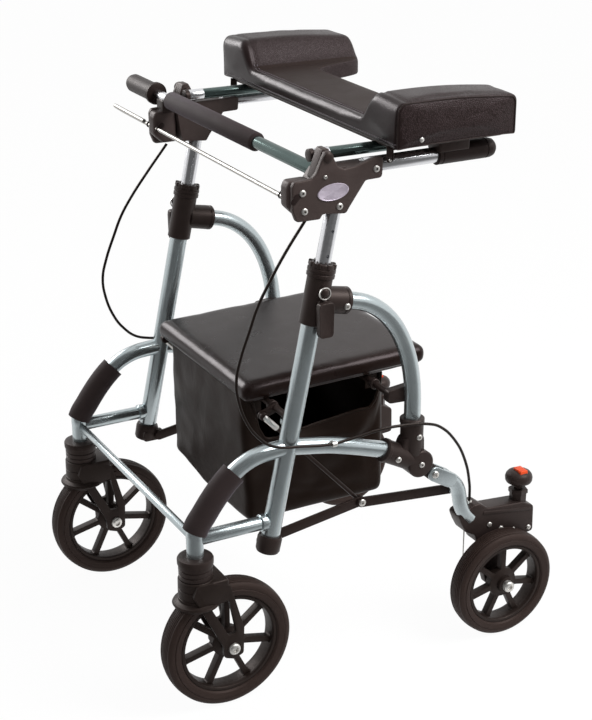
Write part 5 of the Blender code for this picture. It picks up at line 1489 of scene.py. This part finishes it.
over = [(x, seam_y(x), 0.96) for x in [-0.262 + 0.002 * i for i in range(263)]]
band = thrown(pad, over, (0, 0, -1))
under = thrown(pad, [(-0.266 + 0.002 * i, -0.10, 0.8160) for i in range(267)], (0, 1, 0))
pressed(pad, band, 0.0016, 0.0050)
pressed(pad, under, 0.0014, 0.0032)
panels = []
for sign in (-1, 1):
    edge = [Vector((sign * 0.2675, *point)) for point in pad_ring(0.2585)]
    middle = sum(edge, Vector()) / len(edge)
    panel = []
    for point in edge:
        spot = pad.closest_point_on_mesh(middle + (point - middle) * 0.985)[1]
        panel.append((spot, (point - middle).normalized()))
    panels.append(panel)
    pressed(pad, panel, 0.0016, 0.0040)
lines = []
for shift in (-0.0026, 0.0026):
    lines.append(thrown(pad, [(x, y + shift, z) for x, y, z in over if abs(x) < 0.178], (0, 0, -1)))
lines.append(thrown(pad, [(spot.x, -0.10, spot.z + 0.0030) for spot, _ in under], (0, 1, 0)))
rows = [stitches(line, 0.0036, 0.0056, 0.0001) for line in lines]
piping = []
for panel in panels:
    spots = [spot for spot, _ in panel]
    piping.append(pipe([*spots, spots[0]], 0.0010, 8, 2))
fitted(joined(*piping), "pad_piping", "pad", GRIP_RUBBER, "leatherette")
fitted(joined(*rows), "pad_stitching", "pad", THREAD, "leatherette")

# %% [markdown]
# The band is smooth, the bed is matt and the wings are pebbled. Each face takes its finish by
# its place, so the skin stays one mesh. The foam sits on a thin base board, and a button
# closes the cover on each side.

# %% Finishes of the pad, base board and buttons
fitted(pad, "forearm_pad", "pad", PEBBLED, "leatherette", "arm_pad")
pad.data.materials.append(SMOOTH_VINYL)
pad.data.materials.append(MATT_VINYL)
for face in pad.data.polygons:
    x, y, z = face.center
    x -= MID
    if y < seam_y(x) and abs(x) < 0.2665:
        face.material_index = 1
    elif abs(x) < 0.172 and face.normal.z > 0.6 and z < 0.852:
        face.material_index = 2
pad.data.shade_smooth()
BOARD_X, BOARD_LOW, BOARD_TOP = 0.2480, 0.8070, 0.8115
board = block((-BOARD_X, 0.0260, BOARD_LOW), (BOARD_X, 0.1180, BOARD_TOP), 0.0015)
wings = [block((x, 0.1160, BOARD_LOW), (x + 0.058, 0.2020, BOARD_TOP), 0.0015) for x in (-BOARD_X, 0.190)]
fitted(joined(board, *wings), "pad_base_board", "pad", ABS, "black_plastic")
BUTTON = ((0, 0), (0, 0.0036), (0.0012, 0.0034), (0.0018, 0.0022), (0.0020, 0))
button = turned(BUTTON, (0.2702, 0.0560, 0.8235), (1, 0, 0), 20)
on_both_sides(button, "pad_button", "pad", ZINC, "chromed_steel")

# %% [markdown]
# A small zip pull hangs from the pad's cover at each front corner: a bent wire loop round a
# tab, with a bright stud at its end.

# %% Zip pulls
loop = pipe(
    [(0.2400, 0.0208, 0.8118), (0.2402, 0.0206, 0.8000), (0.2402, 0.0208, 0.7925), (0.2402, 0.0250, 0.7895),
     (0.2402, 0.0292, 0.7925), (0.2402, 0.0294, 0.8000), (0.2400, 0.0292, 0.8118)],
    0.0013, 10,
)
tab_side = rounded(((0.0214, 0.7960), (0.0286, 0.7960), (0.0286, 0.8112), (0.0214, 0.8112)), 0.0012)
tab = plate(tab_side, 0.2396, 0.2406, 0.0002)
STUD = ((-0.0020, 0), (-0.0020, 0.0012), (-0.0008, 0.0021), (0.0008, 0.0021), (0.0020, 0.0012), (0.0020, 0))
stud = turned(STUD, (0.2410, 0.0250, 0.7918), (1, 0, 0), 16)
on_both_sides(stud, "zip_pull_stud", "pad", ZINC, "chromed_steel")
on_both_sides(joined(loop, tab), "zip_pull", "pad", BLACK_STEEL, "black_plastic")

# %% [markdown]
# The seat is a thin board padded with foam, its smooth skin drawn down over the edges, so the
# edge reads as one glossy roll. A welt runs round low down, where the skin meets the board.
# The whole seat rises a little toward the back.

# %% Seat cushion
bpy.ops.object.select_all(action="DESELECT")
bpy.ops.mesh.primitive_cube_add(size=1, location=(0, -0.0075, 0.4465), scale=(0.304, 0.296, 0.0300))
seat = bpy.context.object
bpy.ops.object.transform_apply(location=True, rotation=True, scale=True)
eased_edges(seat, 0.0110, 5, 60)
applied(seat, "REMESH", mode="VOXEL", voxel_size=0.0036)
applied(seat, "SMOOTH", factor=0.5, iterations=1)
swollen(seat, 0.0022)
applied(seat, "SMOOTH", factor=0.5, iterations=6)
SEAT_FRONT, WELT_Z, OUT, STEPS = -0.1580, 0.4358, 0.30, 90
drawn_to(seat, (-0.1545, SEAT_FRONT, 0.4295), (0.1545, 0.1510, 0.4625))
applied(seat, "SUBSURF", levels=1, render_levels=1)
welt = []
for (x0, y0), (x1, y1), way in (
    ((-0.14, -OUT), (0.14, -OUT), (0, 1, 0)), ((OUT, -0.14), (OUT, 0.126), (-1, 0, 0)),
    ((0.14, OUT), (-0.14, OUT), (0, -1, 0)), ((-OUT, 0.126), (-OUT, -0.14), (1, 0, 0)),
):
    line = [(x0 + (x1 - x0) * i / STEPS, y0 + (y1 - y0) * i / STEPS, WELT_Z) for i in range(STEPS + 1)]
    welt += thrown(seat, line, way)
pressed(seat, welt, 0.0014, 0.0045)
for vertex in seat.data.vertices:
    vertex.co.z += 0.0225 * (vertex.co.y - SEAT_FRONT)
fitted(seat, "seat_pad", "seat", SEAT_VINYL, "leatherette", "seat_cushion")
seat.data.shade_smooth()

# %% [markdown]
# The bag is coated nylon cloth, nearly black, with a soft shine on its folds. The weave is far
# too fine for this picture, so its threads are drawn 2.4 mm apart and very shallow.

# %% Finish: coated nylon cloth
NYLON_CLOTH, tree, shader, place = begun(
    "coated_nylon_cloth", IOR=1.5, Specular_IOR_Level=0.20, Specular_Tint=WARM,
)
warp = add(
    tree, "TexWave", {"Vector": place, "Scale": 0.314 / 0.0024, "Distortion": 0.6}, bands_direction="Z",
)
weft = add(
    tree, "TexWave", {"Vector": place, "Scale": 0.314 / 0.0024, "Distortion": 0.6},
    bands_direction="DIAGONAL",
)
weave = add(tree, "Math", {0: warp.outputs["Fac"], 1: weft.outputs["Fac"]}, operation="MAXIMUM")
rub = add(tree, "TexNoise", {"Vector": place, "Scale": 1 / 0.045, "Detail": 6.0, "Distortion": 0.6})
mottled(tree, shader, rub.outputs["Fac"], "#1a120e", "#241a15", 0.34, 0.52)
slow = add(tree, "Bump", {"Height": rub.outputs["Fac"], "Strength": 0.30, "Distance": 0.0040})
add(
    tree, "Bump",
    {"Height": weave.outputs[0], "Strength": 0.20, "Distance": 0.0002, "Normal": slow.outputs["Normal"]},
    {"Normal": shader.inputs["Normal"]},
)
print("cloth:", NYLON_CLOTH.name)

# %% [markdown]
# The bag hangs open-topped under the seat. It could be sewn from flat panels, but a closed
# box keeps its round corners whole. So it starts as a box of even small faces, whose lid is
# selected by height and normal and deleted.

# %% Bag as a box without its lid
BAG_LOW, BAG_HIGH = 0.2262, 0.4325
bpy.ops.object.select_all(action="DESELECT")
bag_middle = (0, -0.0275, (BAG_LOW + BAG_HIGH) / 2)
bpy.ops.mesh.primitive_cube_add(size=1, location=bag_middle, scale=(0.256, 0.242, BAG_HIGH - BAG_LOW))
bag = bpy.context.object
bpy.ops.object.transform_apply(location=True, rotation=True, scale=True)
eased_edges(bag, 0.012, 4, 60)
applied(bag, "REMESH", mode="VOXEL", voxel_size=0.0046)
for face in bag.data.polygons:
    looks_up = face.normal.z > 0.35 and face.center.z > BAG_HIGH - 0.0125
    face.select = looks_up or face.center.z > BAG_HIGH - 0.006
alone(bag)
bpy.ops.object.mode_set(mode="EDIT")
bpy.ops.mesh.select_mode(type="FACE")
bpy.ops.mesh.delete(type="FACE")
bpy.ops.object.mode_set(mode="OBJECT")
print("open bag has", len(bag.data.polygons), "faces")

# %% [markdown]
# Then the bag is made to hang: its bottom is drawn up a little in the middle, its sides bow
# out, the far front corner lifts, the tops of its side panels droop between their straps, and
# folds run from them. A fold is a line with a width and a height, written as (y, z) or (x, z).

# %% Bag, shaped


def ridge(y, z, start, end, wide):
    """How near a point is to a fold line, 1 on its middle and 0 away from it or at its ends."""
    start = Vector(start)
    run = Vector(end) - start
    away = Vector((y, z)) - start
    share = min(1.0, max(0.0, away.dot(run) / run.length_squared))
    far = (away - run * share).length
    return math.exp(-((far / wide) ** 2)) * math.sin(math.pi * min(1.0, 0.12 + share * 0.88))


SIDE_FOLDS = (
    ((-0.128, 0.392), (-0.020, 0.318), 0.010, 0.0050), ((-0.118, 0.352), (0.050, 0.338), 0.008, 0.0042),
    ((-0.100, 0.270), (0.070, 0.246), 0.009, 0.0036), ((0.080, 0.390), (0.020, 0.300), 0.011, 0.0040),
    ((-0.060, 0.350), (-0.030, 0.250), 0.014, -0.0035), ((0.040, 0.330), (0.062, 0.240), 0.012, -0.0030),
)
FRONT_FOLDS = (
    ((-0.110, 0.400), (-0.040, 0.300), 0.016, 0.0014), ((0.112, 0.395), (0.060, 0.300), 0.014, 0.0018),
)
BAG_HALF, BAG_MID_Y, BAG_HALF_Y = 0.127, -0.0295, 0.116
top_z = max(vertex.co.z for vertex in bag.data.vertices)
for vertex in bag.data.vertices:
    x, y, z = vertex.co
    high = between(BAG_LOW, top_z, z)
    on_side = between(0.108, 0.122, abs(x))
    on_front = between(-0.130, -0.142, y)
    across = math.cos(x / BAG_HALF * math.pi / 2)
    along = math.cos((y - BAG_MID_Y) / BAG_HALF_Y * math.pi / 2)
    lift = 0.012 * between(0.000, BAG_HALF, -x) * (1 - between(-0.060, 0.060, y)) * (1 - high)
    hollow = 0.004 * across * along * (1 - high)
    droop = (0.066 - 0.10 * (y + 0.09)) * between(-0.143, -0.108, y)
    droop = droop * (1 - between(0.074, 0.090, y)) * on_side
    tuck = 0.0125 * between(0.340, 0.420, z) * (1 - between(-0.135, -0.120, y))
    z_new = z + lift + hollow + tuck - max(0.0, droop) * between(0.290, top_z, z)
    bow = 0.0045 * math.sin(math.pi * min(1.0, max(0.0, (z - BAG_LOW) / (top_z - BAG_LOW))))
    if on_side > 0:
        folds = sum(much * ridge(y, z_new, first, last, wide) for first, last, wide, much in SIDE_FOLDS)
        x += math.copysign(on_side * (bow * along + folds - 0.004 * (1 - high)), x)
    if on_front > 0:
        folds = sum(much * ridge(x, z_new, first, last, wide) for first, last, wide, much in FRONT_FOLDS)
        across = math.cos(x / BAG_HALF * math.pi / 2)
        y -= on_front * (bow * across + folds - 0.004 * (1 - high))
    wave = noise.noise(Vector((x * 28, y * 28, z * 34))) * 0.0014
    vertex.co = Vector((x + wave * math.copysign(1, x) * on_side, y - wave * on_front, z_new))
applied(bag, "SMOOTH", factor=0.5, iterations=3)
print("bag cloth has", len(bag.data.polygons), "faces")

# %% [markdown]
# The open edge is found from the mesh itself: it is the loop of edges that only one face
# uses. A binding tape is run along it as a thin tube, and the cloth gets its thickness last.

# %% Binding and thickness
uses = {}
for face in bag.data.polygons:
    for key in face.edge_keys:
        uses[key] = uses.get(key, 0) + 1
after = {}
for a, b in (key for key, count in uses.items() if count == 1):
    after.setdefault(a, []).append(b)
    after.setdefault(b, []).append(a)
first = min(after)
loop_points = [first]
before = None
while True:
    step = [n for n in after[loop_points[-1]] if n != before]
    before = loop_points[-1]
    if step[0] == first or len(loop_points) > len(after):
        break
    loop_points.append(step[0])
rim_line = [bag.data.vertices[i].co.copy() for i in loop_points[::3]]
binding = pipe([*rim_line, rim_line[0]], 0.0021, 10, 2)
fitted(binding, "bag_binding", "seat", NYLON_CLOTH, "bag_cloth")
applied(bag, "SOLIDIFY", thickness=0.0016, offset=-1)
applied(bag, "SUBSURF", levels=1, render_levels=1)
fitted(bag, "hanging_bag", "seat", NYLON_CLOTH, "bag_cloth", "bag")
bag.data.shade_smooth()

# %% [markdown]
# Two straps on each side hang the bag from the seat's rails. Each is a loop round the rail
# with a flat tongue below it, where it is sewn to the cloth. A strip could be bent round the
# rail, but it would end as a plain ring, so the ring is turned and the tongue is a flat part.

# %% Bag hangers
HANGER = ((0, 0.0049), (0, 0.0070), (0.020, 0.0070), (0.020, 0.0049))
hangers = []
for y in (-0.135, 0.062):
    middle = rail_z(y + 0.010)
    top = middle - 0.0052
    hangers.append(turned(rounded(HANGER, 0.0006), (RAIL_X, y, middle), (0, 1, 0), 28))
    strap = rounded(((y, 0.402), (y + 0.020, 0.402), (y + 0.020, top), (y, top)), 0.002)
    hangers.append(plate(strap, 0.1205, 0.1228, 0.0005))
on_both_sides(joined(*hangers), "bag_hanger", "seat", NYLON_CLOTH, "bag_cloth")

# %% [markdown]
# A plain pale floor runs far enough to fill the picture behind the object. To the camera and
# to shiny surfaces it is mostly its own white, so the background stays white, while the
# shaded part of its look keeps the object's shadow. Reflections of it darken toward the
# photographer, where the lit paper ends.

# %% Floor
TO_CAMERA = (0.8813, -0.4726)
bpy.ops.object.select_all(action="DESELECT")
bpy.ops.mesh.primitive_plane_add(size=120)
floor = bpy.context.object
floor.name = "floor"
FLOOR, tree, shader, place = begun("matt_white_floor", Roughness=0.9)
speck = add(tree, "TexNoise", {"Vector": place, "Scale": 1 / 0.4, "Detail": 2.0})
add(
    tree, "Mix", {0: speck.outputs["Fac"], 6: linear("#f4f4f3"), 7: linear("#fafafa")},
    {2: shader.inputs["Base Color"]}, data_type="RGBA",
)
ray = add(tree, "LightPath")
seen = add(
    tree, "Math", {0: ray.outputs["Is Camera Ray"], 1: ray.outputs["Is Glossy Ray"]}, operation="MAXIMUM",
)
seen = add(tree, "Math", {0: seen.outputs[0], 1: ray.outputs["Is Transmission Ray"]}, operation="MAXIMUM")
share = add(tree, "Math", {0: seen.outputs[0], 1: 0.94}, operation="MULTIPLY")
ground = add(tree, "VectorMath", {0: place, 1: (*TO_CAMERA, 0.0)}, operation="DOT_PRODUCT")
near = add(
    tree, "MapRange",
    {"Value": ground.outputs["Value"], "From Min": 0.0, "From Max": 0.80, "To Min": 1.0, "To Max": 0.15},
    interpolation_type="SMOOTHSTEP",
)
lit = add(tree, "Math", {0: near.outputs["Result"], 1: ray.outputs["Is Camera Ray"]}, operation="MAXIMUM")
bright = add(tree, "Math", {0: lit.outputs[0], 1: 1.02}, operation="MULTIPLY")
glow = add(tree, "Emission", {"Color": (1, 1, 1, 1), "Strength": bright.outputs[0]})
surface = tree.nodes["Material Output"].inputs["Surface"]
add(tree, "MixShader", {0: share.outputs[0], 1: shader.outputs[0], 2: glow.outputs[0]}, {0: surface})
floor.data.materials.append(FLOOR)
print("floor is", round(floor.dimensions.x), "m wide")

# %% [markdown]
# The light is a plain studio: white walls all round, dimmer behind the photographer, as a
# room is. That dim side is what gives shiny tubes their dark middle line between two bright
# edges. A soft lamp stands high and near. A second one, low and far, only shows as the
# highlights on the rolled edges.

# %% World and lamps
world = bpy.data.worlds.new("studio")
bpy.context.scene.world = world
world.use_nodes = True
tree = world.node_tree
tree.nodes.clear()
direction = add(tree, "TexCoord").outputs["Generated"]
toward = add(tree, "VectorMath", {0: direction, 1: (*TO_CAMERA, 0.25)}, operation="DOT_PRODUCT")
dim = add(
    tree, "MapRange",
    {"Value": toward.outputs["Value"], "From Min": 0.30, "From Max": 0.80, "To Min": 1.0, "To Max": 0.13},
    interpolation_type="SMOOTHSTEP",
)
room = add(tree, "Background", {"Color": (1, 1, 1, 1), "Strength": dim.outputs["Result"]})
fill = add(tree, "Background", {"Color": (1, 1, 1, 1), "Strength": 0.40})
white = add(tree, "Background", {"Color": (1, 1, 1, 1), "Strength": 1.0})
ray = add(tree, "LightPath")
shiny = add(
    tree, "Math", {0: ray.outputs["Is Glossy Ray"], 1: ray.outputs["Is Transmission Ray"]},
    operation="MAXIMUM",
)
first = add(tree, "MixShader", {0: shiny.outputs[0], 1: fill.outputs[0], 2: room.outputs[0]})
last = add(tree, "MixShader", {0: ray.outputs["Is Camera Ray"], 1: first.outputs[0], 2: white.outputs[0]})
add(tree, "OutputWorld", {"Surface": last.outputs[0]})


def lamp(name, place, size, power):
    """A square soft lamp that looks at the middle of the walker."""
    bpy.ops.object.select_all(action="DESELECT")
    bpy.ops.object.light_add(type="AREA", location=place)
    light = bpy.context.object
    light.name = name
    light.data.size = size
    light.data.energy = power
    light.rotation_euler = (Vector((0, 0, 0.45)) - Vector(place)).to_track_quat("-Z", "Y").to_euler()
    return light


lamp("key_softbox", (1.3, 1.2, 2.3), 1.2, 52)
rim_light = lamp("rim_softbox", (-1.9, -0.95, 1.6), 1.1, 42)
rim_light.visible_diffuse = False

# %% [markdown]
# The camera stands where the photograph was taken from, found by fitting it to the wheels and
# tubes: 62 degrees round and 22 above, with a long lens.

# %% Camera
CAMERA_PLACE, LOOK_WAY = (2.1454, -1.1215, 1.387), (-0.8165, 0.4378, -0.3762)
bpy.ops.object.camera_add(location=CAMERA_PLACE)
camera = bpy.context.object
camera.name = "camera"
camera.rotation_mode = "QUATERNION"
camera.rotation_quaternion = Vector(LOOK_WAY).to_track_quat("-Z", "Y")
camera.data.lens = 82.707
camera.data.sensor_width = 36
camera.data.clip_end = 200
bpy.context.scene.camera = camera
bpy.context.scene.view_settings.view_transform = "Standard"
print("lens", round(camera.data.lens, 1), "mm, camera", round(camera.location.length, 2), "m from the origin")
